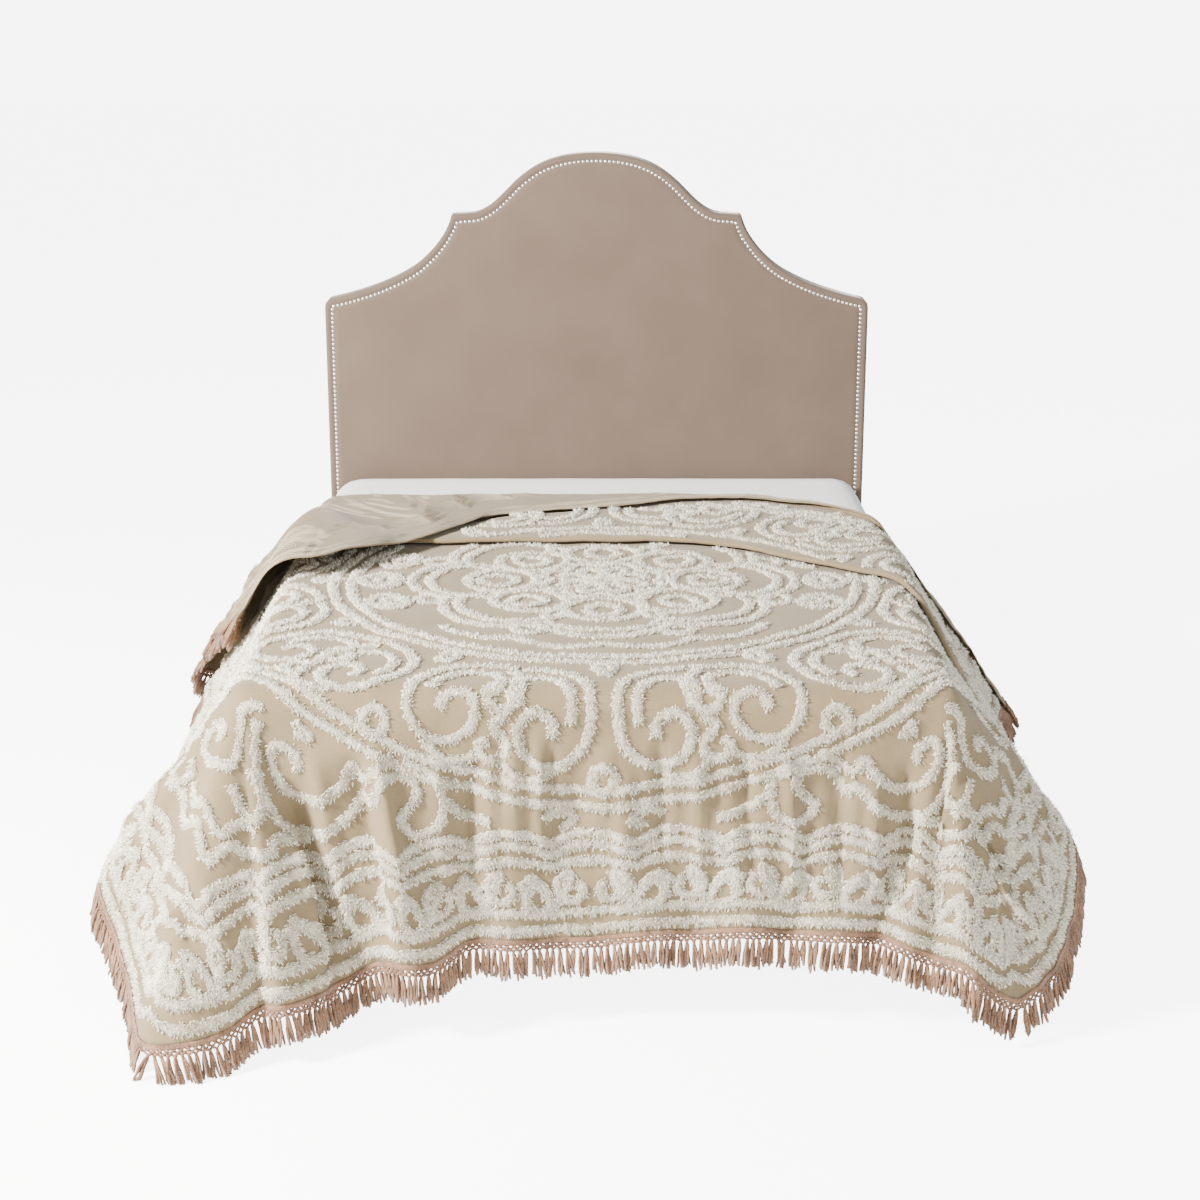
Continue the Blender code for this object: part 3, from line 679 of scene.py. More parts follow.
def band():
    """The scroll units round the band, and the double ring outside them."""
    found = [ring(1.032), ring(1.070)]
    for k in range(BAND_UNITS):
        angle = 2 * pi * k / BAND_UNITS
        between = angle + pi / BAND_UNITS
        way = 1 if k % 2 else -1
        for places in (OVAL_HOOK, INNER_HOOK, LINK):
            stroke = through(*places)
            found.append(turned(stroke, angle))
            found.append(turned(stroke * (-1, 1), angle))
        for places in (STEM_SPIRAL, LOW_SPIRAL):
            found.append(turned(through(*places) * (way, 1), between))
        found.append(turned(petal(0.697, 0.070, 0.046, pi / 2, point=0.5), angle))
        found.append(turned(petal(1.005, 0.060, 0.050, pi / 2, point=0.0), angle))
    return [stroke * (BAND_SQUASH, 1) for stroke in found]


def corners():
    strokes = [through(*places) for places in CORNER_STROKES]
    return [stroke * (sx, sy) for stroke in strokes for sx in (-1, 1) for sy in (-1, 1)]


# %% [markdown]
# ### The border
#
# The border follows the hem at fixed distances, so its lines are written as distances in from the hem
# with a scalloped edge. The running scroll repeats every 16 cm, from the middle of the foot outwards
# both ways.

# %% The border
SCALLOP = 0.185
SCALLOP_POWER = 0.6
BORDER_LINES = (
    # distance in from the hem, and the height of its scallops
    (0.222, 0.036),
    (0.196, 0.034),
    (0.170, 0.022),
    (0.062, 0.006),
    (0.026, 0.0),
)
RUNNING_SCROLL = (
    (Curl(0.040, 0.122, 0.042, 0.016, 70, -320), Curl(0.120, 0.110, 0.041, 0.015, -110, 320)),
    (Curl(0.080, 0.086, 0.013, 0.010, 0, -150), Curl(0.160, 0.146, 0.016, 0.010, 180, 150)),
)
RUNNING_PITCH = 0.160
BORDER_HEAD_END = 1.42


def border_path(inset):
    """Half of a line round the border at that distance in from the hem, from the middle of the foot,
    round the corner and up the side: its points, how far along each is, and the ways inwards."""
    side = CUT_HALF_WIDTH - inset
    foot = FOOT_HEM_PLACE + inset
    radius = max(0.10 - 0.35 * inset, 0.012)
    angle = np.linspace(-pi / 2, 0, 12)
    corner_x = side - radius + radius * np.cos(angle)
    corner_y = foot + radius + radius * np.sin(angle)
    corner = np.stack([corner_x, corner_y], axis=-1)
    corner_in = -np.stack([np.cos(angle), np.sin(angle)], axis=-1)
    bottom_x = np.arange(0, side - radius, STROKE_STEP)
    bottom = np.stack([bottom_x, np.full_like(bottom_x, foot)], axis=-1)
    side_y = np.arange(foot + radius, BORDER_HEAD_END, STROKE_STEP)
    upright = np.stack([np.full_like(side_y, side), side_y], axis=-1)
    points = np.concatenate([bottom, corner, upright])
    inwards = np.concatenate([
        np.tile((0.0, 1.0), (len(bottom), 1)), corner_in, np.tile((-1.0, 0.0), (len(upright), 1))
    ])
    return points, run_along(points), inwards


def border():
    """Strokes in flat cloth places, not in the medallion's."""
    found = []
    for inset, depth in BORDER_LINES:
        points, run, inwards = border_path(inset)
        hump = np.abs(np.cos(pi * run / SCALLOP)) ** SCALLOP_POWER
        line = points + inwards * (depth * hump)[:, None]
        found += [line, line * (-1, 1)]
    points, run, inwards = border_path(0.0)
    for k in range(int(run[-1] / RUNNING_PITCH)):
        start = k * RUNNING_PITCH
        for first, second in RUNNING_SCROLL:
            stroke = scroll(first, second)
            along_hem = start + stroke[:, 0]
            depth = stroke[:, 1]
            way = read_along(along_hem, run, inwards)
            placed = read_along(along_hem, run, points) + way * depth[:, None]
            found += [placed, placed * (-1, 1)]
    return found


def on_cloth(strokes):
    """From the medallion's measures, where y is towards the foot, to the cloth's."""
    return [np.stack([MEDALLION_ACROSS + s[:, 0], MEDALLION_ALONG - s[:, 1]], axis=-1) for s in strokes]


def evenly(stroke, step):
    """The stroke with a point at about every step of its length."""
    run = run_along(stroke)
    count = max(int(round(run[-1] / step)), 2)
    return read_along(np.linspace(0, run[-1], count + 1), run, stroke)


# The field inside the border: its edge at the sides, and towards the foot
BORDER_AT_SIDES = 0.245
BORDER_AT_FOOT = 0.262
FIELD_EDGE = CUT_HALF_WIDTH - BORDER_AT_SIDES
FIELD_FOOT = FOOT_HEM_PLACE + BORDER_AT_FOOT


def inside_field(strokes):
    """Cuts strokes where they would run into the border."""
    found = []
    for stroke in strokes:
        stroke = evenly(stroke, STROKE_STEP)
        inside = (np.abs(stroke[:, 0]) < FIELD_EDGE) & (stroke[:, 1] > FIELD_FOOT)
        found += [stroke[part] for part in runs_where(inside) if len(part) > 2]
    return found


PATTERN = {
    "medallion": [evenly(s, STROKE_STEP) for s in on_cloth(medallion())],
    "scrolls": inside_field(on_cloth(band())),
    "corners": inside_field(on_cloth(corners())),
    "border": [evenly(s, STROKE_STEP) for s in border()],
}
for pattern_name, strokes in PATTERN.items():
    total = sum((len(stroke) - 1) * STROKE_STEP for stroke in strokes)
    print(pattern_name, len(strokes), "strokes,", round(total, 1), "m of pile")

# %% [markdown]
# ## Helpers for meshes and node trees
#
# Large meshes are filled from number arrays, which is far quicker than adding one face at a time. A
# node tree is written as short lines, one for each node, with its inputs given by name.

# %% Mesh and node helpers
def mesh_from(name, points, faces, material=None, smooth=True):
    """A mesh object from arrays of points and of faces with one number of corners."""
    mesh = bpy.data.meshes.new(name)
    faces = np.asarray(faces)
    mesh.from_pydata(np.asarray(points).tolist(), [], faces.tolist())
    mesh.update()
    if smooth:
        mesh.shade_smooth()
    if material:
        mesh.materials.append(material)
    return add_object(name, mesh)


def triangles_in(obj):
    obj.data.calc_loop_triangles()
    return len(obj.data.loop_triangles)


def add_node(tree, kind, inputs=None, **settings):
    """A node with its settings, and its inputs given as values or as the sockets that feed them."""
    node = tree.nodes.new(kind)
    for key, value in settings.items():
        setattr(node, key, value)
    for key, value in (inputs or {}).items():
        socket = node.inputs[key]
        if isinstance(value, bpy.types.NodeSocket):
            tree.links.new(value, socket)
        else:
            socket.default_value = value
    return node


def new_material(name, values):
    """A material, its tree and its shader, with the shader's inputs given by name."""
    material = bpy.data.materials.new(name)
    material.use_nodes = True
    tree = material.node_tree
    shader = tree.nodes["Principled BSDF"]
    for key, value in values.items():
        shader.inputs[key].default_value = value
    return material, tree, shader


def bumped(tree, shader, height, strength, distance):
    bump = add_node(tree, "ShaderNodeBump", {"Height": height, "Strength": strength, "Distance": distance})
    tree.links.new(bump.outputs["Normal"], shader.inputs["Normal"])


def start_group(name, inputs, outputs):
    """A shader group with named sockets: inputs are (name, type, default)."""
    group = bpy.data.node_groups.new(name, "ShaderNodeTree")
    for socket_name, kind, default in inputs:
        socket = group.interface.new_socket(socket_name, in_out="INPUT", socket_type=kind)
        if default is not None:
            socket.default_value = default
    for socket_name, kind in outputs:
        group.interface.new_socket(socket_name, in_out="OUTPUT", socket_type=kind)
    return group, group.nodes.new("NodeGroupInput"), group.nodes.new("NodeGroupOutput")


def calculate(tree, operation, first, second=0.0):
    return add_node(tree, "ShaderNodeMath", {0: first, 1: second}, operation=operation).outputs[0]


# %% [markdown]
# ## Two shader groups that every cloth here shares
#
# `plain_weave` draws threads over and under each other from a flat place on the cloth, with thicker
# threads (slubs) here and there. `uneven_tone` is the slow unevenness of dyed cotton: cloudy patches
# and a finer speckle. Both give out a mask and a height only, and each material mixes its own colours.

# %% The weave group
FLOAT, VECTOR = "NodeSocketFloat", "NodeSocketVector"
WHOLE, MATERIAL = "NodeSocketInt", "NodeSocketMaterial"
TURN = 2 * pi
# A noise drawn out one way and then the other makes the thicker stretches of thread
SLUB_STRETCHES = ((1200.0, 22.0, 1.0), (22.0, 1200.0, 1.0))


def make_weave_group():
    group, given, result = start_group(
        "plain_weave",
        [("Place", VECTOR, None), ("Threads per metre", FLOAT, 900.0), ("Slubs", FLOAT, 0.5)],
        [("Height", FLOAT), ("Tone", FLOAT)],
    )
    split = add_node(group, "ShaderNodeSeparateXYZ", {0: given.outputs["Place"]})
    waves = []
    for axis in ("X", "Y"):
        turns = calculate(group, "MULTIPLY", split.outputs[axis], given.outputs["Threads per metre"])
        waves.append(calculate(group, "SINE", calculate(group, "MULTIPLY", turns, TURN / 2)))
    crossing = calculate(group, "MULTIPLY", waves[0], waves[1])
    slubs = []
    for stretch in SLUB_STRETCHES:
        long_way = add_node(
            group, "ShaderNodeVectorMath", {0: given.outputs["Place"], 1: stretch}, operation="MULTIPLY"
        )
        noise = add_node(
            group, "ShaderNodeTexNoise", {"Vector": long_way.outputs[0], "Scale": 1.0, "Detail": 1.0}
        )
        slubs.append(noise.outputs["Fac"])
    slub = calculate(group, "SUBTRACT", calculate(group, "ADD", slubs[0], slubs[1]), 1.0)
    slub = calculate(group, "MULTIPLY", slub, given.outputs["Slubs"])
    height = calculate(group, "ADD", calculate(group, "MULTIPLY", crossing, 0.35), slub)
    group.links.new(height, result.inputs["Height"])
    tone = calculate(group, "ADD", calculate(group, "MULTIPLY", slub, 0.9), 0.5)
    group.links.new(tone, result.inputs["Tone"])
    return group


def make_tone_group():
    group, given, result = start_group(
        "uneven_tone",
        [("Place", VECTOR, None), ("Patch size", FLOAT, 0.2), ("Speckle size", FLOAT, 0.004)],
        [("Patches", FLOAT), ("Speckle", FLOAT)],
    )
    for size, output, detail in (("Patch size", "Patches", 3.0), ("Speckle size", "Speckle", 2.0)):
        scale = calculate(group, "DIVIDE", 1.0, given.outputs[size])
        noise = add_node(
            group, "ShaderNodeTexNoise", {"Vector": given.outputs["Place"], "Scale": scale, "Detail": detail}
        )
        group.links.new(noise.outputs["Fac"], result.inputs[output])
    return group


WEAVE = make_weave_group()
UNEVEN = make_tone_group()


NOISE_RANGE = (0.3, 0.7)
THREAD_DEPTH = 0.0006


def add_tone(tree, place, patch_size, speckle_size):
    """The unevenness of a material, for patches and speckles of those sizes."""
    sizes = {"Place": place, "Patch size": patch_size, "Speckle size": speckle_size}
    return add_node(tree, "ShaderNodeGroup", sizes, node_tree=UNEVEN)


def mix_colours(tree, factor, first, second):
    """From the first colour to the second, as the factor goes from 0 to 1."""
    mix = tree.nodes.new("ShaderNodeMix")
    mix.data_type = "RGBA"
    tree.links.new(factor, mix.inputs[0])
    for socket, value in ((mix.inputs[6], first), (mix.inputs[7], second)):
        if isinstance(value, bpy.types.NodeSocket):
            tree.links.new(value, socket)
        else:
            socket.default_value = (*value, 1.0)
    return mix.outputs[2]


def remap(tree, value, low, high, to_low=0.0, to_high=1.0):
    """The value, taken from one range to another and kept inside it."""
    limits = {"From Min": low, "From Max": high, "To Min": to_low, "To Max": to_high}
    return add_node(tree, "ShaderNodeMapRange", {"Value": value, **limits}).outputs[0]


# %% [markdown]
# Every cloth here is the same weave with its own numbers: two near colours, how fine its threads are,
# and how cloudy the dye. The bedspread reads the weave by its flat map, so the threads run with the
# folds. The sheet and the base are plain boxes, for which the object's own places do.

# %% Woven cloths
def woven_cloth(name, dark, light, threads, slubs, bump, patches, sheen, uv=True):
    """A woven cotton or linen: its two tones, threads per metre and how uneven it is."""
    finish = {"Roughness": 0.92, "Sheen Weight": sheen, "Sheen Roughness": 0.5, "Specular IOR Level": 0.2}
    material, tree, shader = new_material(name, finish)
    place = add_node(tree, "ShaderNodeTexCoord").outputs["UV" if uv else "Object"]
    threading = {"Place": place, "Threads per metre": threads, "Slubs": slubs}
    weave = add_node(tree, "ShaderNodeGroup", threading, node_tree=WEAVE)
    tone = add_tone(tree, place, patches, 0.006)
    cloudy = remap(tree, tone.outputs["Patches"], *NOISE_RANGE, -0.18, 0.18)
    speckle = remap(tree, tone.outputs["Speckle"], *NOISE_RANGE, -0.10, 0.10)
    mask = calculate(tree, "ADD", calculate(tree, "ADD", weave.outputs["Tone"], cloudy), speckle)
    mask = add_node(tree, "ShaderNodeClamp", {"Value": mask}).outputs[0]
    tree.links.new(mix_colours(tree, mask, dark, light), shader.inputs["Base Color"])
    bumped(tree, shader, weave.outputs["Height"], bump, THREAD_DEPTH)
    return material


cotton = woven_cloth(
    "beige_cotton", (0.174, 0.130, 0.070), (0.238, 0.180, 0.100),
    threads=1100.0, slubs=1.0, bump=0.45, patches=0.11, sheen=0.15,
)
white_sheet = woven_cloth(
    "white_percale", (0.84, 0.84, 0.83), (0.90, 0.90, 0.89),
    threads=1500.0, slubs=0.2, bump=0.25, patches=0.2, sheen=0.1, uv=False,
)
base_linen = woven_cloth(
    "base_linen", (0.50, 0.47, 0.42), (0.62, 0.59, 0.54),
    threads=700.0, slubs=0.8, bump=0.5, patches=0.12, sheen=0.1, uv=False,
)
print("woven cloths made")


# %% [markdown]
# Cotton pile is white, but light is lost between the ends, so it looks darker down there. That shade is
# painted: each point of the pile carries a value from dark at the roots to light at the tips. Velvet shines
# at its edges, which the sheen layer does.
# Nickel and wood vary a little in roughness, as worn things do.

# %% Pile, yarn, velvet, nickel and wood
def pile_material(name, shade, light, sheen, paint_root_shade=False):
    """Loose cotton ends: soft and matt, a little darker here and there at random. When asked, each point's
    own value also paints shade on it: dark deep in the pile, light at the tips."""
    finish = {"Roughness": 0.97, "Sheen Weight": sheen, "Sheen Roughness": 0.6, "Specular IOR Level": 0.15}
    material, tree, shader = new_material(name, finish)
    place = add_node(tree, "ShaderNodeTexCoord").outputs["Object"]
    tone = add_tone(tree, place, 0.035, 0.0035)
    mask = calculate(tree, "ADD", tone.outputs["Patches"], tone.outputs["Speckle"])
    mask = remap(tree, mask, 0.72, 1.2)
    if paint_root_shade:
        # Painted shade: the tone attribute runs from dark at the roots to light at the tips.
        painted_shade_tones = add_node(tree, "ShaderNodeAttribute", {}, attribute_name="tone")
        soft = remap(tree, mask, 0.0, 1.0, -0.12, 0.12)
        mask = calculate(tree, "ADD", painted_shade_tones.outputs["Fac"], soft)
    tree.links.new(mix_colours(tree, mask, shade, light), shader.inputs["Base Color"])
    bumped(tree, shader, tone.outputs["Speckle"], 0.8, 0.002)
    return material


def velvet_material():
    finish = {"Roughness": 0.85, "Sheen Weight": 0.55, "Sheen Roughness": 0.4, "Specular IOR Level": 0.2}
    material, tree, shader = new_material("taupe_velvet", finish)
    shader.inputs["Sheen Tint"].default_value = (0.86, 0.78, 0.72, 1.0)
    place = add_node(tree, "ShaderNodeTexCoord").outputs["Object"]
    tone = add_tone(tree, place, 0.16, 0.0016)
    cloudy = remap(tree, tone.outputs["Patches"], *NOISE_RANGE, 0.25, 0.75)
    speckle = remap(tree, tone.outputs["Speckle"], *NOISE_RANGE, -0.12, 0.12)
    mask = calculate(tree, "ADD", cloudy, speckle)
    colour = mix_colours(tree, mask, (0.100, 0.071, 0.0515), (0.127, 0.0915, 0.0685))
    tree.links.new(colour, shader.inputs["Base Color"])
    bumped(tree, shader, tone.outputs["Speckle"], 0.25, 0.0006)
    return material


def nickel_material():
    material, tree, shader = new_material("nickel_nail", {"Roughness": 0.3, "Metallic": 1.0})
    place = add_node(tree, "ShaderNodeTexCoord").outputs["Object"]
    tone = add_tone(tree, place, 0.02, 0.001)
    colour = mix_colours(tree, tone.outputs["Patches"], (0.60, 0.58, 0.54), (0.86, 0.84, 0.80))
    tree.links.new(colour, shader.inputs["Base Color"])
    roughness = remap(tree, tone.outputs["Speckle"], *NOISE_RANGE, 0.18, 0.40)
    tree.links.new(roughness, shader.inputs["Roughness"])
    return material


def wood_material():
    material, tree, shader = new_material("dark_wood", {"Roughness": 0.42})
    place = add_node(tree, "ShaderNodeTexCoord").outputs["Object"]
    along_grain = add_node(tree, "ShaderNodeMapping", {"Vector": place, "Scale": (160.0, 160.0, 7.0)})
    noise = {"Vector": along_grain.outputs[0], "Scale": 1.0, "Detail": 5.0}
    grain = add_node(tree, "ShaderNodeTexNoise", noise)
    mask = remap(tree, grain.outputs["Fac"], 0.35, 0.7)
    colour = mix_colours(tree, mask, (0.045, 0.022, 0.012), (0.15, 0.08, 0.042))
    tree.links.new(colour, shader.inputs["Base Color"])
    roughness = remap(tree, grain.outputs["Fac"], *NOISE_RANGE, 0.55, 0.35)
    tree.links.new(roughness, shader.inputs["Roughness"])
    bumped(tree, shader, grain.outputs["Fac"], 0.15, 0.0005)
    return material


# The white pile's dark colour is painted shade for its roots and the feet of its lines; its light colour is
# the white of the cotton.
white_pile = pile_material("white_pile", (0.170, 0.130, 0.078), (1.0, 0.95, 0.785), 0.15, paint_root_shade=True)
white_thread = pile_material("white_thread", (0.27, 0.22, 0.145), (0.40, 0.335, 0.235), 0.1)
blush_yarn = pile_material("blush_yarn", (0.098, 0.050, 0.028), (0.270, 0.148, 0.085), 0.2)
velvet = velvet_material()
nickel = nickel_material()
wood = wood_material()
print("pile, yarn, velvet, nickel and wood made")

# %% [markdown]
# ## The cloth
#
# The bedspread is one sheet. Its columns run from the foot hem up over the bed, back under itself in
# the cross tuck, over to the head fold, and down again as the turned-back flap. Walking each column in
# its own flat length gives every point, and a Solidify modifier gives the sheet its thickness. The UV
# map holds the flat place in metres, so the weave follows the folds.

# %% Walk one row of the folded path
Span = namedtuple("Span", "stretch rows")
SPANS = (
    Span("hang", 42),
    Span("edge", 7),
    Span("under", 92),
    Span("inner turn", 2),
    Span("back", 4),
    Span("lip turn", 5),
    Span("over", 42),
    Span("fold turn", 5),
    Span("flap", 38),
)
COLUMNS = 204
THICKNESS = 0.002
FLAT_SHARES = (0.3, 0.4)


def turn(place, low, high, direction, t):
    """A half-round turn between two layers."""
    radius = (high - low) / 2
    return place + direction * radius * sin(pi * t), (low + high) / 2 - radius * cos(pi * t)


def flap_place(across, t):
    """(across, along, height) of flat columns that share of the way down the flap."""
    _, _, _, fold, flap, slew = head_columns(across)
    p = across + slew * flap * t * (2 - t)
    q = fold - t * flap
    return p, q, tuck_height(p, q) + flap_height(across)


def path(across, stretch, t):
    """(across, along, height) of one row of flat columns on the folded path."""
    lip, tuck, share, fold, _, _ = head_columns(across)
    back = lip + tuck
    flat_first, flat_next = FLAT_SHARES
    flat_last = 1 - flat_first - flat_next
    none = np.zeros_like(across)
    if stretch == "hang":
        return across, none + FOOT_HEM_PLACE + t * (FOOT_BEND - FOOT_HEM_PLACE), none
    if stretch == "edge":
        return across, none + FOOT_BEND + t * (FOOT_TOP - FOOT_BEND), none
    if stretch == "under":
        return across, FOOT_TOP + t * (share * back + (1 - share) * lip - FOOT_TOP), none
    if stretch == "inner turn":
        q, h = turn(back, 0.0, TUCK_STEP, 1, t)
        return across, share * q + (1 - share) * (lip + TUCK_FLAT_GAP * flat_first * t), share * h
    if stretch == "back":
        q = back + t * (lip - back)
        flat = lip + TUCK_FLAT_GAP * (flat_first + flat_next * t)
        return across, share * q + (1 - share) * flat, share * TUCK_STEP
    if stretch == "lip turn":
        q, h = turn(lip, TUCK_STEP, 2 * TUCK_STEP, -1, t)
        flat = lip + TUCK_FLAT_GAP * (flat_first + flat_next + flat_last * t)
        return across, share * q + (1 - share) * flat, share * h
    if stretch == "over":
        start = lip + (1 - share) * TUCK_FLAT_GAP
        q = start + t * (fold - start)
        return across, q, tuck_height(across, q)
    if stretch == "fold turn":
        q, h = turn(fold, 0.0, flap_height(across), 1, t)
        return across, q, h
    return flap_place(across, t)


def path_rows(scale=1):
    """Every row of the path as (stretch, share of it)."""
    rows = []
    for span in SPANS:
        count = max(round(span.rows / scale), 1)
        turns = "turn" in span.stretch
        rows += [(span.stretch, (k + turns) / (count + turns)) for k in range(count)]
    return rows + [(SPANS[-1].stretch, 1.0)]


rows = path_rows()
print(len(rows), "rows by", COLUMNS + 1, "columns")

# %% [markdown]
# The walk gives one row of points after another, so the faces are a plain grid. The length of each
# column is measured on the way, because the map and the cut size need it.

# %% The sheet
sheet_across = np.linspace(-CUT_HALF_WIDTH, CUT_HALF_WIDTH, COLUMNS + 1)


def cloth_rows(across, rows):
    """The room places of every row, and each row's flat length up its column."""
    places = np.array([lifted(*path(across, stretch, t))[0] for stretch, t in rows])
    steps = np.linalg.norm(np.diff(places, axis=0), axis=-1)
    return places, np.concatenate([np.zeros((1, len(across))), np.cumsum(steps, axis=0)])


def grid_faces(row_count, column_count):
    k = np.arange(row_count * column_count).reshape(row_count, column_count)
    return np.stack([k[:-1, :-1], k[:-1, 1:], k[1:, 1:], k[1:, :-1]], axis=-1).reshape(-1, 4)


def add_flat_map(obj, across, flat):
    """The UV map: each corner's flat place in metres."""
    layer = obj.data.uv_layers.new(name="flat_place")
    corner = np.empty(len(obj.data.loops), np.int32)
    obj.data.loops.foreach_get("vertex_index", corner)
    values = np.stack([across.ravel()[corner], flat.ravel()[corner]], axis=-1)
    layer.data.foreach_set("uv", values.astype(np.float32).ravel())


places, flat_lengths = cloth_rows(sheet_across, rows)
bedspread = mesh_from("bedspread_cloth", places.reshape(-1, 3), grid_faces(*places.shape[:2]), cotton)
add_flat_map(bedspread, np.broadcast_to(sheet_across, flat_lengths.shape), flat_lengths)
cloth_body = bedspread.modifiers.new("thickness", "SOLIDIFY")
cloth_body.thickness = THICKNESS
cloth_body.offset = 0.0
CUT_LENGTH = float(np.median(flat_lengths[-1]))
print("cut", 2 * CUT_HALF_WIDTH, "x", round(CUT_LENGTH, 3), "m;", triangles_in(bedspread) * 2, "triangles")
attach(bedspread, "root")
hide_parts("bedspread")

# %% [markdown]
# ## The cut pile
#
# Every stroke of the pattern is a line of tufts about 25 mm wide. The body of the line is a low
# rounded strip whose five points across are each laid on the cloth by the same function, so the strip
# bends with it. On the strip stand loose yarn ends: small three-sided spikes that Geometry Nodes put
# on seeded points, leaning outwards at the sides of the line.

# %% Which layer a flat place of the pattern shows on
PILE_HALF_WIDTH = 0.0125
PILE_HEIGHT = 0.0048
STRIP_PLACES = np.array([-1.0, -0.66, 0.0, 0.66, 1.0])
STRIP_HEIGHTS = np.array([-0.10, 0.72, 1.0, 0.72, -0.10])
STRIP_WIDTHS = (0.72, 1.18)
STRIP_RISES = (0.75, 1.15)
STRIP_ENDS = 0.25
LIP_MARGIN = 0.004
TURN_ALLOWANCE = 0.012
COVER_REACH = 0.020
# The pattern skips the plain cloth inside the tuck, past this much of it
PATTERN_TUCK = 0.22


def tuck_take(across):
    """How much cloth the tuck takes up in a column."""
    _, tuck, share, _, _, _ = head_columns(across)
    return share * (2 * tuck + pi * TUCK_STEP)


def covered_by_flap():
    """A reader of whether the flap lies over a place of the bed."""
    found = []
    across = np.linspace(-CUT_HALF_WIDTH, CUT_HALF_WIDTH, 160)
    for t in np.linspace(0.0, 1.0, 50):
        p, q, _ = path(across, "flap", t)
        found.append(np.stack([p, q, np.zeros_like(p)], axis=-1))
    found = np.concatenate(found)
    tree = KDTree(len(found))
    for i, place in enumerate(found):
        tree.insert(place, i)
    tree.balance()
    return lambda x, y: tree.find((x, y, 0.0))[2] < COVER_REACH


flap_covers = covered_by_flap()


def shown_runs(stroke):
    """The parts of a stroke that show: (points in bed measures, heights, layer), one for each run."""
    across, along = stroke[:, 0], stroke[:, 1]
    lip, _, _, fold, _, _ = head_columns(across)
    beyond = along - np.minimum(tuck_take(across), PATTERN_TUCK)
    layers = (
        ("under", along, np.zeros_like(along), along < lip - LIP_MARGIN),
        ("over", beyond, tuck_height(across, beyond), (beyond > lip + TURN_ALLOWANCE) & (beyond < fold)),
    )
    runs = []
    for layer, place, height, shown in layers:
        if layer == "over":
            near = np.flatnonzero(shown)
            hidden = [i for i in near if flap_covers(across[i], place[i])]
            shown = shown.copy()
            shown[hidden] = False
        for part in runs_where(shown):
            if len(part) > 1:
                runs.append((np.stack([across[part], place[part]], axis=-1), height[part]))
    return runs


def stroke_ways(points):
    """Unit ways across the stroke, to its left."""
    ahead = unit(np.gradient(points, axis=0))
    return np.stack([-ahead[:, 1], ahead[:, 0]], axis=-1)


# %% [markdown]
# The strips change a little in width and height from point to point, as cut pile does, and close down
# at both ends of a stroke.

# %% The body strips
def strip_mesh(runs, seed):
    """Points and faces of the low rounded strips along the runs."""
    draw = np.random.default_rng(seed)
    all_points, all_faces, count = [], [], 0
    for points, height in runs:
        ways = stroke_ways(points)
        width = PILE_HALF_WIDTH * draw.uniform(*STRIP_WIDTHS, (len(points), 1))
        rise = PILE_HEIGHT * draw.uniform(*STRIP_RISES, (len(points), len(STRIP_PLACES)))
        shrink = np.ones(len(points))
        shrink[0] = shrink[-1] = STRIP_ENDS
        sideways = STRIP_PLACES[None, :] * width * shrink[:, None]
        flat = points[:, None, :] + ways[:, None, :] * sideways[..., None]
        raised = height[:, None] + STRIP_HEIGHTS[None, :] * rise * shrink[:, None]
        placed, _ = lifted(flat[..., 0], flat[..., 1], raised + THICKNESS / 2)
        faces = grid_faces(len(points), len(STRIP_PLACES))[:, ::-1]
        all_points.append(placed.reshape(-1, 3))
        all_faces.append(faces + count)
        count += placed.shape[0] * placed.shape[1]
    return np.concatenate(all_points), np.concatenate(all_faces)


# %% [markdown]
# ### A node tree for loose yarn ends
#
# Each point carries the way its yarn end stands and how long it is. The tree puts one thin
# three-sided cone on each point, turns it along that way, scales it, and makes it real mesh.

# %% The yarn-end tree
YARN_END_WIDTH = 0.0043


def geometry_tree(name, inputs):
    """A tree with named inputs, given as (name, type, default), that hands out geometry."""
    tree = bpy.data.node_groups.new(name, "GeometryNodeTree")
    tree.interface.new_socket("Geometry", in_out="INPUT", socket_type="NodeSocketGeometry")
    for socket_name, kind, default in inputs:
        socket = tree.interface.new_socket(socket_name, in_out="INPUT", socket_type=kind)
        if default is not None:
            socket.default_value = default
    tree.interface.new_socket("Geometry", in_out="OUTPUT", socket_type="NodeSocketGeometry")
    return tree, tree.nodes.new("NodeGroupInput"), tree.nodes.new("NodeGroupOutput")


def place_copies(tree, given, copy, **inputs):
    """Puts a copy on each given point."""
    inputs = {key.replace("_", " ").title(): value for key, value in inputs.items()}
    inputs = {"Points": given.outputs["Geometry"], "Instance": copy.outputs[0], **inputs}
    return add_node(tree, "GeometryNodeInstanceOnPoints", inputs)


def finish_tree(tree, last, given, result):
    """Makes the copies real mesh, gives them the material and hands them out."""
    real = add_node(tree, "GeometryNodeRealizeInstances", {"Geometry": last.outputs[0]})
    inputs = {"Geometry": real.outputs[0], "Material": given.outputs["Material"]}
    finished = add_node(tree, "GeometryNodeSetMaterial", inputs)
    tree.links.new(finished.outputs[0], result.inputs["Geometry"])
    return tree


def named(tree, name, data_type):
    """The value of that name that each point carries."""
    node = add_node(tree, "GeometryNodeInputNamedAttribute", {"Name": name}, data_type=data_type)
    return node.outputs["Attribute"]


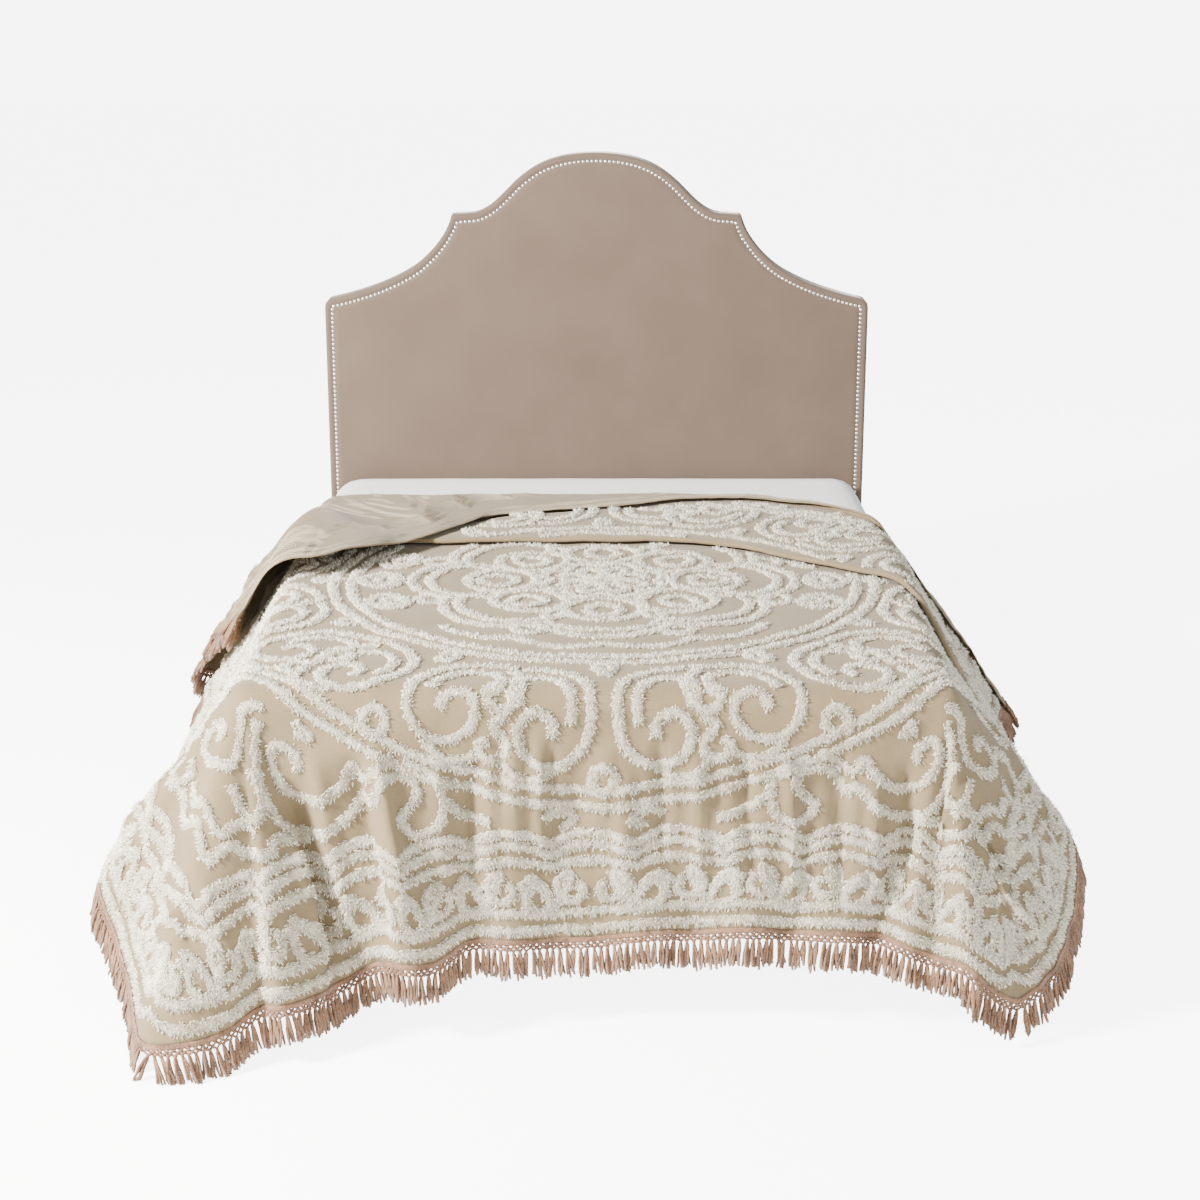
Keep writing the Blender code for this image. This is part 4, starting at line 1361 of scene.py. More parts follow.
def yarn_end_tree():
    tree, given, result = geometry_tree(
        "yarn_ends",
        [("Width", FLOAT, YARN_END_WIDTH), ("Seed", WHOLE, 1), ("Material", MATERIAL, None)],
    )
    cone = add_node(
        tree,
        "GeometryNodeMeshCone",
        {"Vertices": 3, "Radius Top": 0.0, "Radius Bottom": 0.5, "Depth": 1.0},
        fill_type="NONE",
    )
    stand = add_node(
        tree, "FunctionNodeAlignRotationToVector", {"Vector": named(tree, "stand", "FLOAT_VECTOR")}, axis="Z"
    )
    spin = add_node(tree, "FunctionNodeRandomValue", {"Seed": given.outputs["Seed"]}, data_type="FLOAT")
    spin.inputs[3].default_value = 2 * pi
    about = add_node(tree, "ShaderNodeCombineXYZ", {"Z": spin.outputs[1]})
    turned_end = add_node(
        tree,
        "FunctionNodeRotateRotation",
        {"Rotation": stand.outputs[0], "Rotate By": about.outputs[0]},
        rotation_space="LOCAL",
    )
    reach = named(tree, "reach", "FLOAT")
    width = given.outputs["Width"]
    size = add_node(tree, "ShaderNodeCombineXYZ", {"X": width, "Y": width, "Z": reach})
    placed = place_copies(tree, given, cone, rotation=turned_end.outputs[0], scale=size.outputs[0])
    return finish_tree(tree, placed, given, result)


YARN_ENDS = yarn_end_tree()


def run_tree(obj, tree, values):
    """Runs a Geometry Nodes tree on the object, removes it, and returns the result as a plain mesh."""
    modifier = obj.modifiers.new("made", "NODES")
    modifier.node_group = tree
    for item in tree.interface.items_tree:
        if getattr(item, "in_out", "") == "INPUT" and item.name in values:
            modifier[item.identifier] = values[item.name]
    graph = bpy.context.evaluated_depsgraph_get()
    made = bpy.data.meshes.new_from_object(obj.evaluated_get(graph))
    bpy.data.objects.remove(obj)
    return made


# %% [markdown]
# The ends stand thickest at the sides of a line and lean outwards there. A slow swirl along the line
# gathers them in small clumps, and where the cloth hangs upright they droop.

# %% Points for the yarn ends
ENDS_PER_METRE = 1020.0
END_REACH = (0.0062, 0.0115)
END_LEAN = 0.72
# How far the ends hang down where the cloth is upright
END_DROOP = 0.6
CLUMP_LENGTH = 0.023
CLUMP_SWIRL = 0.45
STRAY_LEAN = 0.34
STRAY_SWIRL = 0.36
# Where the roots are: a power under 1 crowds them to the sides of the line
SIDE_CROWDING = 0.8
ROOTS_WIDTH = 0.92
ROOTS_CROWN = 0.9
ROOTS_DEPTH = 0.55
SIDE_STEP = 0.002
# Painted shade, as lightness from darkest to lightest: for the body of the line, and for the root and the tip
# of a yarn end
STRIP_PAINTED_SHADE = (0.0, 0.35)
ROOT_PAINTED_SHADE = (0.0, 0.32)
TIP_PAINTED_SHADE = (0.80, 1.90)
POINTS_PER_END = 4


def yarn_end_points(runs, seed, per_metre):
    """(places, standing ways, lengths) of the loose ends along the runs."""
    draw = np.random.default_rng(seed)
    found = []
    for points, height in runs:
        run = run_along(points)
        count = max(int(run[-1] * per_metre), 1)
        at = draw.uniform(0, run[-1], count)
        side = draw.uniform(-1, 1, count)
        side = np.sign(side) * np.abs(side) ** SIDE_CROWDING
        way = read_along(at, run, stroke_ways(points))
        flat = read_along(at, run, points) + way * (side * PILE_HALF_WIDTH * ROOTS_WIDTH)[:, None]
        layer = np.interp(at, run, height)
        root = PILE_HEIGHT * (1 - ROOTS_CROWN * side**2) * ROOTS_DEPTH
        foot, normal = lifted(*flat.T, layer + root)
        beside, _ = lifted(*(flat + way * SIDE_STEP).T, layer + root)
        out = unit(beside - foot)
        ahead = np.cross(out, normal)
        swirl = CLUMP_SWIRL * np.sin(2 * pi * at / CLUMP_LENGTH + draw.uniform(0, 2 * pi) + side)
        lean = side * END_LEAN + draw.normal(0, STRAY_LEAN, count)
        swirl = swirl + draw.normal(0, STRAY_SWIRL, count)
        stand = normal + out * lean[:, None] + ahead * swirl[:, None]
        stand[:, 2] -= END_DROOP * (1 - np.clip(normal[:, 2], 0, 1))
        found.append((foot, stand, draw.uniform(*END_REACH, count)))
    return tuple(np.concatenate(part) for part in zip(*found))


def points_object(name, places, vectors, numbers):
    """A mesh of loose points with named values on them."""
    mesh = bpy.data.meshes.new(name)
    mesh.from_pydata(places.tolist(), [], [])
    for key, value in vectors.items():
        layer = mesh.attributes.new(key, "FLOAT_VECTOR", "POINT")
        layer.data.foreach_set("vector", value.astype(np.float32).ravel())
    for key, value in numbers.items():
        layer = mesh.attributes.new(key, "FLOAT", "POINT")
        layer.data.foreach_set("value", value.astype(np.float32).ravel())
    return add_object(name, mesh)


def join_meshes(name, meshes):
    """One object of several meshes, whose doubles stay apart."""
    bm = bmesh.new()
    for mesh in meshes:
        bm.from_mesh(mesh)
    joined = mesh_of(bm, name)
    for mesh in meshes:
        bpy.data.meshes.remove(mesh)
    return add_object(name, joined)


# %% [markdown]
# Each part of the pattern becomes one piece of pile, and a large part becomes several, so that no
# piece grows past what a mesh viewer handles well.

# %% Pile pieces
MOST_METRES = 27.0


def painted_strip_shade(count, seed):
    """Painted shade on the strips' points: dark at the foot of the pile, a little lighter on top."""
    draw = np.random.default_rng(seed + 2)
    across = np.tile((0.0, 0.6, 1.0, 0.6, 0.0), count // len(STRIP_PLACES))
    low, high = STRIP_PAINTED_SHADE
    return low + (high - low) * across * draw.uniform(0.5, 1.0, count)


def painted_end_shade(mesh, seed):
    """Painted shade on the yarn ends' points: dark at the root, light at the tip, no two ends alike."""
    draw = np.random.default_rng(seed + 3)
    count = len(mesh.vertices)
    places = np.empty(count * 3, np.float32)
    mesh.vertices.foreach_get("co", places)
    ends = places.reshape(-1, POINTS_PER_END, 3)
    middle = ends.mean(axis=1, keepdims=True)
    away = np.linalg.norm(ends - middle, axis=2)
    is_tip = away == away.max(axis=1, keepdims=True)
    tip_painted_shade = draw.uniform(*TIP_PAINTED_SHADE, (len(ends), 1))
    root_painted_shade = draw.uniform(*ROOT_PAINTED_SHADE, (len(ends), 1))
    return np.where(is_tip, tip_painted_shade, root_painted_shade).ravel()


def pile_piece(name, runs, seed):
    """One piece of pile: the low strips, the loose ends on them, and a painted shade value on every point."""
    points, faces = strip_mesh(runs, seed)
    strips = mesh_from(name + "_strips", points, faces)
    loose = points_object(name + "_ends", *split_points(yarn_end_points(runs, seed + 1, ENDS_PER_METRE)))
    ends = run_tree(loose, YARN_ENDS, {"Width": YARN_END_WIDTH, "Seed": seed, "Material": white_pile})
    body = strips.data.copy()
    bpy.data.objects.remove(strips)
    # Painted shade: every point of the piece carries how light it is, dark at the roots and light at the
    # tips.
    painted_shade_tones = np.concatenate([painted_strip_shade(len(body.vertices), seed), painted_end_shade(ends, seed)])
    piece = join_meshes(name, [body, ends])
    piece.data.attributes.new("tone", "FLOAT", "POINT").data.foreach_set("value", painted_shade_tones.astype(np.float32))
    piece.data.materials.clear()
    piece.data.materials.append(white_pile)
    piece.data.shade_smooth()
    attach(piece, "root")
    print(name, triangles_in(piece), "triangles")
    return piece


def split_points(found):
    places, stand, reach = found
    return places, {"stand": stand}, {"reach": reach}


def metres_of(run):
    return float(np.linalg.norm(np.diff(run[0], axis=0), axis=1).sum())


def in_parts(runs):
    """The runs shared out in parts of no more than MOST_METRES each."""
    total = sum(metres_of(run) for run in runs)
    count = max(int(np.ceil(total / MOST_METRES)), 1)
    parts = [[] for _ in range(count)]
    done = 0.0
    for run in runs:
        parts[min(int(done / total * count), count - 1)].append(run)
        done += metres_of(run)
    return parts


for group_number, (pattern_name, strokes) in enumerate(PATTERN.items()):
    runs = [run for stroke in strokes for run in shown_runs(stroke)]
    for part_number, part in enumerate(in_parts(runs)):
        name = f"pile_{pattern_name}_{part_number + 1}"
        pile_piece(name, part, 100 + 10 * group_number + part_number)

# %% [markdown]
# ## Stitch rows on the back
#
# The turned-back flap shows the wrong side of the cloth. There the pile is only rows of fine stitches,
# several close together for each line of pile. They are thin raised ribbons on the flap, laid by the
# same flat places, so the pattern on the back is the pattern on the face.

# %% Stitch rows
ROWS_PER_LINE = 5
ROW_SPACING = 0.0052
STITCH_HALF_WIDTH = 0.0010
STITCH_HEIGHT = 0.0012
STITCH_SECTION = ((-STITCH_HALF_WIDTH, 0.0), (0.0, STITCH_HEIGHT), (STITCH_HALF_WIDTH, 0.0))
STITCH_STEP = 0.011
FLAP_SHOWN = (0.01, 0.985)
SIDE_HEM = 0.008
BORDER_REACH = 1.26


def flap_share(across, along):
    """How far down the flap a flat place is, as a share of the flap."""
    _, _, _, fold, flap, _ = head_columns(across)
    fold_turn = pi * flap_height(across) / 2
    return (along - tuck_take(across) - fold - fold_turn) / np.maximum(flap, TINY)


def on_flap(stroke):
    """The parts of a stroke that lie on the flap."""
    across, along = stroke[:, 0], stroke[:, 1]
    share = flap_share(across, along)
    low, high = FLAP_SHOWN
    shown = (share > low) & (share < high) & (np.abs(across) < CUT_HALF_WIDTH - SIDE_HEM)
    return [stroke[part] for part in runs_where(shown) if len(part) > 2]


def flap_surface(flat):
    """Places on the upper side of the flap, as (across, along, height) over the bed."""
    across, along = flat[..., 0], flat[..., 1]
    return flap_place(across, flap_share(across, along))


def stitch_rows(strokes):
    all_points, all_faces, count = [], [], 0
    for stroke in strokes:
        for part in on_flap(stroke):
            ways = stroke_ways(part)
            for k in range(ROWS_PER_LINE):
                side = (k - (ROWS_PER_LINE - 1) / 2) * ROW_SPACING
                placed = []
                for edge, rise in STITCH_SECTION:
                    p, q, height = flap_surface(part + ways * (side + edge))
                    placed.append(lifted(p, q, height + THICKNESS / 2 + rise)[0])
                placed = np.stack(placed, axis=1)
                all_points.append(placed.reshape(-1, 3))
                all_faces.append(grid_faces(len(part), 3)[:, ::-1] + count)
                count += placed.shape[0] * 3
    return np.concatenate(all_points), np.concatenate(all_faces)


def head_border():
    """The border's lines along the head hem, which only the flap shows."""
    across = np.arange(-BORDER_REACH, BORDER_REACH, STROKE_STEP)
    _, _, _, fold, flap, _ = head_columns(across)
    hem = tuck_take(across) + fold + pi * flap_height(across) / 2 + flap
    hump = np.abs(np.cos(pi * across / SCALLOP)) ** SCALLOP_POWER
    return [np.stack([across, hem - inset - depth * hump], axis=-1) for inset, depth in BORDER_LINES]


flap_strokes = [evenly(stroke, STITCH_STEP) for strokes in PATTERN.values() for stroke in strokes]
flap_strokes += [evenly(stroke, STITCH_STEP) for stroke in head_border()]
stitches = mesh_from("stitch_rows", *stitch_rows(flap_strokes), white_thread)
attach(stitches, "root")
print("stitch rows:", triangles_in(stitches), "triangles")

# %% [markdown]
# ## The knotted fringe
#
# The fringe is a trimming of soft cotton yarn: a narrow woven heading sewn along the hem, two rows of
# knots with open diamonds between them, and a tassel of a few twisted yarns under each knot. All of it
# hangs from the hem, so one function gives a place on the fringe from two measures: how far along the
# hem, and how far past it.

# %% Where the fringe hangs
FRINGE_LEAN = 0.45
FRINGE_FLOOR = 0.0045
FLOOR_SPREAD = 0.8
LOWEST_YARN = 0.0005
PAST_HEM = 0.03
HEADING_WIDTH = 0.006
FIRST_KNOTS = 0.0105
SECOND_KNOTS = 0.0160
TASSEL_HEADS = 0.0215
TASSEL_LENGTH = 0.061
KNOT_PITCH = 0.0145
SINGLE_STRETCHES = ("hang", "edge", "under")


def side_stations(side):
    """Up one side of the cloth: places on the hem, places a little past it, and the lean."""
    places, pasts, leans = [], [], []
    edge = np.array([side * CUT_HALF_WIDTH])
    for stretch, t in path_rows():
        across, along, height = path(edge, stretch, t)
        places.append(lifted(across, along, height)[0][0])
        pasts.append(lifted(across + side * PAST_HEM, along, height)[0][0])
        leans.append(FRINGE_LEAN if stretch in SINGLE_STRETCHES else 0.0)
    return np.array(places), np.array(pasts), np.array(leans)


def hem_stations():
    """Down the left side, along the foot and up the right side."""
    left, right = side_stations(-1), side_stations(1)
    across = np.linspace(-CUT_HALF_WIDTH, CUT_HALF_WIDTH, 260)[1:-1]
    hem = np.full_like(across, FOOT_HEM_PLACE)
    foot = (
        lifted(across, hem, np.zeros_like(across))[0],
        lifted(across, hem - PAST_HEM, np.zeros_like(across))[0],
        np.full_like(across, FRINGE_LEAN),
    )
    return [np.concatenate([left[i][::-1], foot[i], right[i]]) for i in range(3)]


hem_places, hem_pasts, hem_leans = hem_stations()
hem_run = run_along(hem_places)
HEM_LENGTH = hem_run[-1]


def fringe_place(run, past, pull=0.0):
    """A place on the fringe, that far along the hem and past it. It leans down, and lies on the floor."""
    run = np.clip(np.asarray(run, float), 0, HEM_LENGTH)
    past = np.asarray(past, float)
    place = read_along(run, hem_run, hem_places)
    way = unit(read_along(run, hem_run, hem_pasts) - place)
    lean = np.clip(np.interp(run, hem_run, hem_leans) + pull, 0.0, 1.0)[..., None]
    way = unit(way * (1 - lean) + np.array([0.0, 0.0, -1.0]) * lean)
    point = place + way * past[..., None]
    sunk = np.maximum(FRINGE_FLOOR - point[..., 2], 0.0)
    flat = unit(way * (1.0, 1.0, 0.0))
    point = point + flat * (sunk * FLOOR_SPREAD)[..., None]
    point[..., 2] = np.maximum(point[..., 2], FRINGE_FLOOR)
    return point, way


print("hem with fringe:", round(HEM_LENGTH, 2), "m")

# %% [markdown]
# At the left corner the fringe reaches the floor. Yarn cannot go through it, so the few points that do
# are lifted back up.

# %% Yarn stays on the floor
def keep_on_floor(mesh):
    """Raises the few points that the tassels' turning has put under the floor."""
    places = np.empty(len(mesh.vertices) * 3, np.float32)
    mesh.vertices.foreach_get("co", places)
    places = places.reshape(-1, 3)
    places[:, 2] = np.maximum(places[:, 2], LOWEST_YARN)
    mesh.vertices.foreach_set("co", places.ravel())
    mesh.update()


# %% [markdown]
# The heading is a ribbon four points wide that laps onto the cloth, with a Solidify modifier for its
# thickness. Its stitching gathers it slightly, which two small waves show.

# %% The woven heading
HEADING_START = -0.004
HEADING_STEP = 0.009
HEADING_RISE = 0.0016
HEADING_THICKNESS = 0.0022
AHEAD_STEP = 0.003
# Two waves of small gathers: height, length and shift
GATHERS = ((0.0008, 0.013, 0.0), (0.0006, 0.0313, 1.0))
heading_run = np.arange(0, HEM_LENGTH, HEADING_STEP)
heading_past = np.array([HEADING_START, 0.0, 0.0035, HEADING_WIDTH])


def heading_points():
    """The heading's rows of points, a little above the cloth and gathered by its stitching."""
    run, past = np.meshgrid(heading_run, heading_past, indexing="ij")
    point, way = fringe_place(run, past)
    ahead, _ = fringe_place(run + AHEAD_STEP, past)
    normal = unit(np.cross(way, ahead - point))
    gathers = sum(high * np.sin(run * 2 * pi / long + shift) for high, long, shift in GATHERS)
    return point + normal * (HEADING_RISE + gathers)[..., None]


heading_grid = grid_faces(len(heading_run), len(heading_past))
heading = mesh_from("fringe_heading", heading_points().reshape(-1, 3), heading_grid, blush_yarn)
heading_body = heading.modifiers.new("thickness", "SOLIDIFY")
heading_body.thickness = HEADING_THICKNESS
heading_body.offset = 0.0
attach(heading, "root")

# %% [markdown]
# ### Knots and cords
#
# The cords between the knots are first only edges: a wire net. Geometry Nodes turn each edge into a
# thin round yarn, and put a small knot on each crossing. The net is uneven, because a hand pulls some
# knots tighter than others.

# %% The net of cords
YARN_RADIUS = 0.0030
KNOT_RADIUS = 0.0054
KNOT_WANDER_ALONG = 0.0011
KNOT_WANDER_PAST = 0.0010
# From the heading down to the tassels: how far along in knot pitches, and how far past the hem
NET_ROWS = ((0.5, HEADING_WIDTH - 0.001), (0.0, FIRST_KNOTS), (0.5, SECOND_KNOTS), (0.0, TASSEL_HEADS))


def net():
    """Points and edges of the cords, and which points are knots."""
    draw = np.random.default_rng(21)
    count = int(HEM_LENGTH / KNOT_PITCH)
    tops = (np.arange(count) + 0.5) * KNOT_PITCH
    knot_rows = []
    for shift, past in NET_ROWS:
        wander_run = draw.normal(0, KNOT_WANDER_ALONG, count) * (len(knot_rows) > 0)
        wander_past = draw.normal(0, KNOT_WANDER_PAST, count) * (len(knot_rows) > 0)
        knot_rows.append(fringe_place(tops + shift * KNOT_PITCH + wander_run, past + wander_past)[0])
    edges = []
    for k in range(count - 1):
        top, first, second, head = (row * count + k for row in range(4))
        edges += [(top, first), (top, first + 1), (second, first), (second, first + 1)]
        edges += [(second, head), (second, head + 1)]
    knots = np.concatenate([np.zeros(count), np.ones(3 * count)])
    return np.concatenate(knot_rows), edges, knots, knot_rows[-1]


def net_tree():
    radii = [("Yarn radius", FLOAT, YARN_RADIUS), ("Knot radius", FLOAT, KNOT_RADIUS)]
    tree, given, result = geometry_tree("knotted_net", [*radii, ("Material", MATERIAL, None)])
    wires = add_node(tree, "GeometryNodeMeshToCurve", {"Mesh": given.outputs["Geometry"]})
    section = add_node(
        tree, "GeometryNodeCurvePrimitiveCircle", {"Resolution": 4, "Radius": given.outputs["Yarn radius"]}
    )
    profile = {"Curve": wires.outputs[0], "Profile Curve": section.outputs[0]}
    yarn = add_node(tree, "GeometryNodeCurveToMesh", profile)
    ball = add_node(
        tree, "GeometryNodeMeshUVSphere", {"Segments": 6, "Rings": 2, "Radius": given.outputs["Knot radius"]}
    )
    wide = add_node(tree, "FunctionNodeRandomValue", {"Seed": 5}, data_type="FLOAT_VECTOR")
    wide.inputs[0].default_value = (0.75, 0.75, 0.8)
    wide.inputs[1].default_value = (1.15, 1.15, 1.3)
    is_knot = named(tree, "knot", "FLOAT")
    knots = place_copies(tree, given, ball, selection=is_knot, scale=wide.outputs[0])
    both = add_node(tree, "GeometryNodeJoinGeometry")
    tree.links.new(yarn.outputs[0], both.inputs[0])
    tree.links.new(knots.outputs[0], both.inputs[0])
    return finish_tree(tree, both, given, result)


net_points, net_edges, net_knots, tassel_heads = net()
net_mesh = bpy.data.meshes.new("net_wires")
net_mesh.from_pydata(net_points.tolist(), net_edges, [])
net_mesh.attributes.new("knot", "FLOAT", "POINT").data.foreach_set("value", net_knots.astype(np.float32))
wires = add_object("net_wires", net_mesh)
radii = {"Yarn radius": YARN_RADIUS, "Knot radius": KNOT_RADIUS}
made = run_tree(wires, net_tree(), {**radii, "Material": blush_yarn})
fringe_net = add_object("fringe_net", made)
fringe_net.data.shade_smooth()
keep_on_floor(fringe_net.data)
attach(fringe_net, "root")
print("net:", triangles_in(fringe_net), "triangles")

# %% [markdown]
# ### Tassels
#
# A tassel is a bunch of twisted yarns that spread a little and end unevenly. Four different ones are
# enough: Geometry Nodes pick one for each knot, turn it along the fringe and vary its length.

# %% Four tassels, and the tree that hangs them
TASSEL_KINDS = 4
YARNS_IN_TASSEL = 6
TASSEL_SPREAD = 0.0072
TASSEL_YARN = 0.0036
TASSEL_LEVELS = (0.0, 0.14, 0.45, 0.75, 1.0)
YARN_SPACING = 0.0018
YARN_BOW = 0.0022
YARN_LENGTHS = (0.86, 1.08)
YARN_TWIST = 2.2


def tassel_mesh(seed):
    """A bunch of three-sided yarns that hang from the origin to one below it."""
    draw = np.random.default_rng(seed)
    bm = bmesh.new()
    for k in range(YARNS_IN_TASSEL):
        beside = (k - (YARNS_IN_TASSEL - 1) / 2) * YARN_SPACING
        end = draw.normal(0, TASSEL_SPREAD * 0.62, 2) + (beside, 0.0)
        bow = draw.normal(0, YARN_BOW, 2)
        length = draw.uniform(*YARN_LENGTHS)
        twist = draw.uniform(0, 2 * pi)
        rings = []
        for level in TASSEL_LEVELS:
            middle = end * level**0.8 + bow * sin(pi * level)
            radius = TASSEL_YARN * (0.8 if level in (0.0, 1.0) else 1.0)
            angles = [twist + corner * TURN / 3 + level * YARN_TWIST for corner in range(3)]
            places = [(middle[0] + radius * cos(a), middle[1] + radius * sin(a)) for a in angles]
            rings.append([bm.verts.new((*place, -level * length)) for place in places])
        for above, below in zip(rings, rings[1:]):
            for corner in range(3):
                nxt = (corner + 1) % 3
                bm.faces.new((above[corner], above[nxt], below[nxt], below[corner])[::-1])
        bm.faces.new(rings[-1][::-1])
    bmesh.ops.recalc_face_normals(bm, faces=bm.faces)
    mesh = mesh_of(bm, f"tassel_{seed}")
    mesh.shade_smooth()
    return mesh


def tassel_tree(kinds):
    tree, given, result = geometry_tree(
        "tassels",
        [("Length", FLOAT, TASSEL_LENGTH), ("Seed", WHOLE, 3), ("Material", MATERIAL, None)],
    )
    children = {"Collection": kinds, "Separate Children": True, "Reset Children": True}
    choice = add_node(tree, "GeometryNodeCollectionInfo", children)
    which = add_node(tree, "FunctionNodeRandomValue", {"Seed": given.outputs["Seed"]}, data_type="INT")
    which.inputs[4].default_value = 0
    which.inputs[5].default_value = TASSEL_KINDS - 1
    up, side = named(tree, "up", "FLOAT_VECTOR"), named(tree, "side", "FLOAT_VECTOR")
    axes = {"Primary Axis": up, "Secondary Axis": side}
    turn_to = add_node(tree, "FunctionNodeAxesToRotation", axes, primary_axis="Z", secondary_axis="X")
    length = calculate(tree, "MULTIPLY", given.outputs["Length"], named(tree, "reach", "FLOAT"))
    size = add_node(tree, "ShaderNodeCombineXYZ", {"X": 1.0, "Y": 1.0, "Z": length})
    placed = place_copies(
        tree, given, choice,
        pick_instance=True, instance_index=which.outputs[2],
        rotation=turn_to.outputs[0], scale=size.outputs[0],
    )
    return finish_tree(tree, placed, given, result)


# %% [markdown]
# The tassels sway a little to either side, and hang more steeply than the net, because they are heavy.
# Each point carries the way up its tassel and the way along the hem, so that Geometry Nodes can turn a
# copy to fit.

# %% Hang the tassels
TASSEL_SWAY = 0.0040
TASSEL_UNEVEN = 0.002
TASSEL_PULL = 0.12
TASSEL_REACH = (0.88, 1.06)
SIDE_REACH = 0.004


def hang_tassels():
    """The points under the net, each with the turn and the length of its tassel."""
    draw = np.random.default_rng(31)
    count = len(tassel_heads)
    heads = (np.arange(count) + 0.5) * KNOT_PITCH
    sway = draw.normal(0, TASSEL_SWAY, count)
    past_hem = TASSEL_HEADS + TASSEL_LENGTH + draw.normal(0, TASSEL_UNEVEN, count)
    ends, _ = fringe_place(heads + sway, past_hem, TASSEL_PULL)
    past = np.full(count, TASSEL_HEADS)
    side = fringe_place(heads + SIDE_REACH, past)[0] - fringe_place(heads - SIDE_REACH, past)[0]
    vectors = {"up": unit(tassel_heads - ends), "side": side}
    numbers = {"reach": draw.uniform(*TASSEL_REACH, count)}
    return points_object("tassel_points", tassel_heads, vectors, numbers)


tassel_kinds = bpy.data.collections.new("tassel_kinds")
for kind in range(TASSEL_KINDS):
    tassel_kinds.objects.link(bpy.data.objects.new(f"tassel_{kind}", tassel_mesh(40 + kind)))
tassel_points = hang_tassels()
values = {"Length": TASSEL_LENGTH, "Seed": 3, "Material": blush_yarn}
made = run_tree(tassel_points, tassel_tree(tassel_kinds), values)
for obj in list(tassel_kinds.objects):
    bpy.data.objects.remove(obj)
bpy.data.collections.remove(tassel_kinds)
tassels = add_object("fringe_tassels", made)
keep_on_floor(tassels.data)
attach(tassels, "root")
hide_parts("fringe")
print("tassels:", triangles_in(tassels), "triangles")

# %% [markdown]
# ## The mattress and the base
#
# Both are boxes with a soft face. A grid is wrapped round the box with rounded edges, and then swells a
# little in the middle of each side. The mattress wears a white fitted sheet, whose slack shows as fine
# creases near its corners. The base is covered in plain linen.

# %% A soft box
def soft_box(name, low, high, edge, swell_by, material, cuts, crease=0.0, seed=1):
    """A closed box with round edges and crowned sides, from a finely cut cube."""
    low, high = np.array(low), np.array(high)
    middle, half = (low + high) / 2, (high - low) / 2
    bm = bmesh.new()
    bmesh.ops.create_cube(bm, size=2.0)
    bmesh.ops.subdivide_edges(bm, edges=bm.edges, cuts=cuts, use_grid_fill=True)
    field = wander(seed, 0.30, 0.07)
    for vertex in bm.verts:
        share = np.array(vertex.co)
        point = share * half
        core = np.clip(point, -(half - edge), half - edge)
        away = point - core
        length = np.linalg.norm(away)
        if length > TINY:
            away = away / length
            point = core + away * edge
            crown = np.prod(1 - np.clip(np.abs(share), 0, 1) ** 4 * (np.abs(away) < 0.5))
            point = point + away * swell_by * (crown - 1.0)
            corner = np.clip((np.abs(share[:2]) - 0.82) / 0.18, 0, 1).prod()
            slack = field(point[0] + point[2], point[1] - point[2]) - 1
            point = point + away * crease * slack * (0.4 + corner)
        vertex.co = Vector(point + middle)
    mesh = mesh_of(bm, name)
    mesh.shade_smooth()
    mesh.materials.append(material)
    obj = add_object(name, mesh)
    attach(obj, "root")
    return obj


mattress = soft_box(
    "mattress_in_sheet", *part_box("mattress"),
    edge=0.070, swell_by=0.006, material=white_sheet, cuts=40, crease=0.0015, seed=5,
)
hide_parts("mattress")
base = soft_box(
    "covered_base", *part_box("base"),
    edge=0.018, swell_by=0.003, material=base_linen, cuts=30, crease=0.0006, seed=6,
)
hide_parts("base")

# %% [markdown]
# ## The headboard
#
# The headboard is a camelback panel: foam over a board, wrapped in velvet, with a line of nails 22 mm
# inside the edge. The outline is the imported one. From it, rings of points step inwards, and each
# point's distance from the outline says how far it stands forward: a flat rim, a groove where the
# nails pull the cloth down, and a crowned field.

# %% The outline
Corner = namedtuple("Corner", "x z before_x before_z after_x after_z")
HEADBOARD_OUTLINE = (
    Corner(-0.782, 0.30, 0.0, 0.0, 0.0, 0.30),
    Corner(-0.782, 1.222, 0.0, -0.30, 0.0, 0.013),
    Corner(-0.760, 1.246, -0.012, 0.0, 0.10, 0.022),
    Corner(-0.527, 1.334, -0.055, -0.035, 0.045, 0.030),
    Corner(-0.415, 1.478, -0.015, -0.055, 0.002, 0.007),
    Corner(-0.406, 1.486, -0.006, 0.0, 0.015, 0.0),
    Corner(-0.352, 1.489, -0.015, 0.0, 0.045, 0.005),
    Corner(-0.237, 1.572, -0.035, -0.035, 0.050, 0.045),
    Corner(0.0, 1.658, -0.13, 0.0, 0.13, 0.0),
)
BEZIER_STEPS = 40
OUTLINE_POINTS = 420
FIELD_MIDDLE = np.array([0.0, 0.95])


def headboard_outline():
    """The closed outline, evenly stepped, from the bottom left corner over the crown and back."""
    half = list(HEADBOARD_OUTLINE)
    mirrored = [Corner(-c.x, c.z, -c.after_x, c.after_z, -c.before_x, c.before_z) for c in half[-2::-1]]
    corners = half + mirrored
    points = []
    for start, end in zip(corners, corners[1:]):
        points += interpolate_bezier(
            Vector((start.x, start.z)),
            Vector((start.x + start.after_x, start.z + start.after_z)),
            Vector((end.x + end.before_x, end.z + end.before_z)),
            Vector((end.x, end.z)),
            BEZIER_STEPS,
        )[:-1]
    points = np.array([*points, Vector((corners[-1].x, corners[-1].z)), Vector((corners[0].x, corners[0].z))])
    run = run_along(points)
    return read_along(np.linspace(0, run[-1], OUTLINE_POINTS + 1)[:-1], run, points)


outline = headboard_outline()


def inside_distance(points):
    """How far points of the panel are from its outline."""
    start, end = outline, np.roll(outline, -1, axis=0)
    edge = end - start
    found = np.full(len(points), np.inf)
    for a, e in zip(start, edge):
        share = np.clip(((points - a) @ e) / max(e @ e, TINY), 0, 1)
        found = np.minimum(found, np.linalg.norm(points - a - share[:, None] * e, axis=1))
    return found


# %% [markdown]
# ### The padded panel
#
# Rings of points step from the outline to the middle of the front. Near the edge they are close
# together, for the groove and the rounding. Two more loops close the edge and the back.

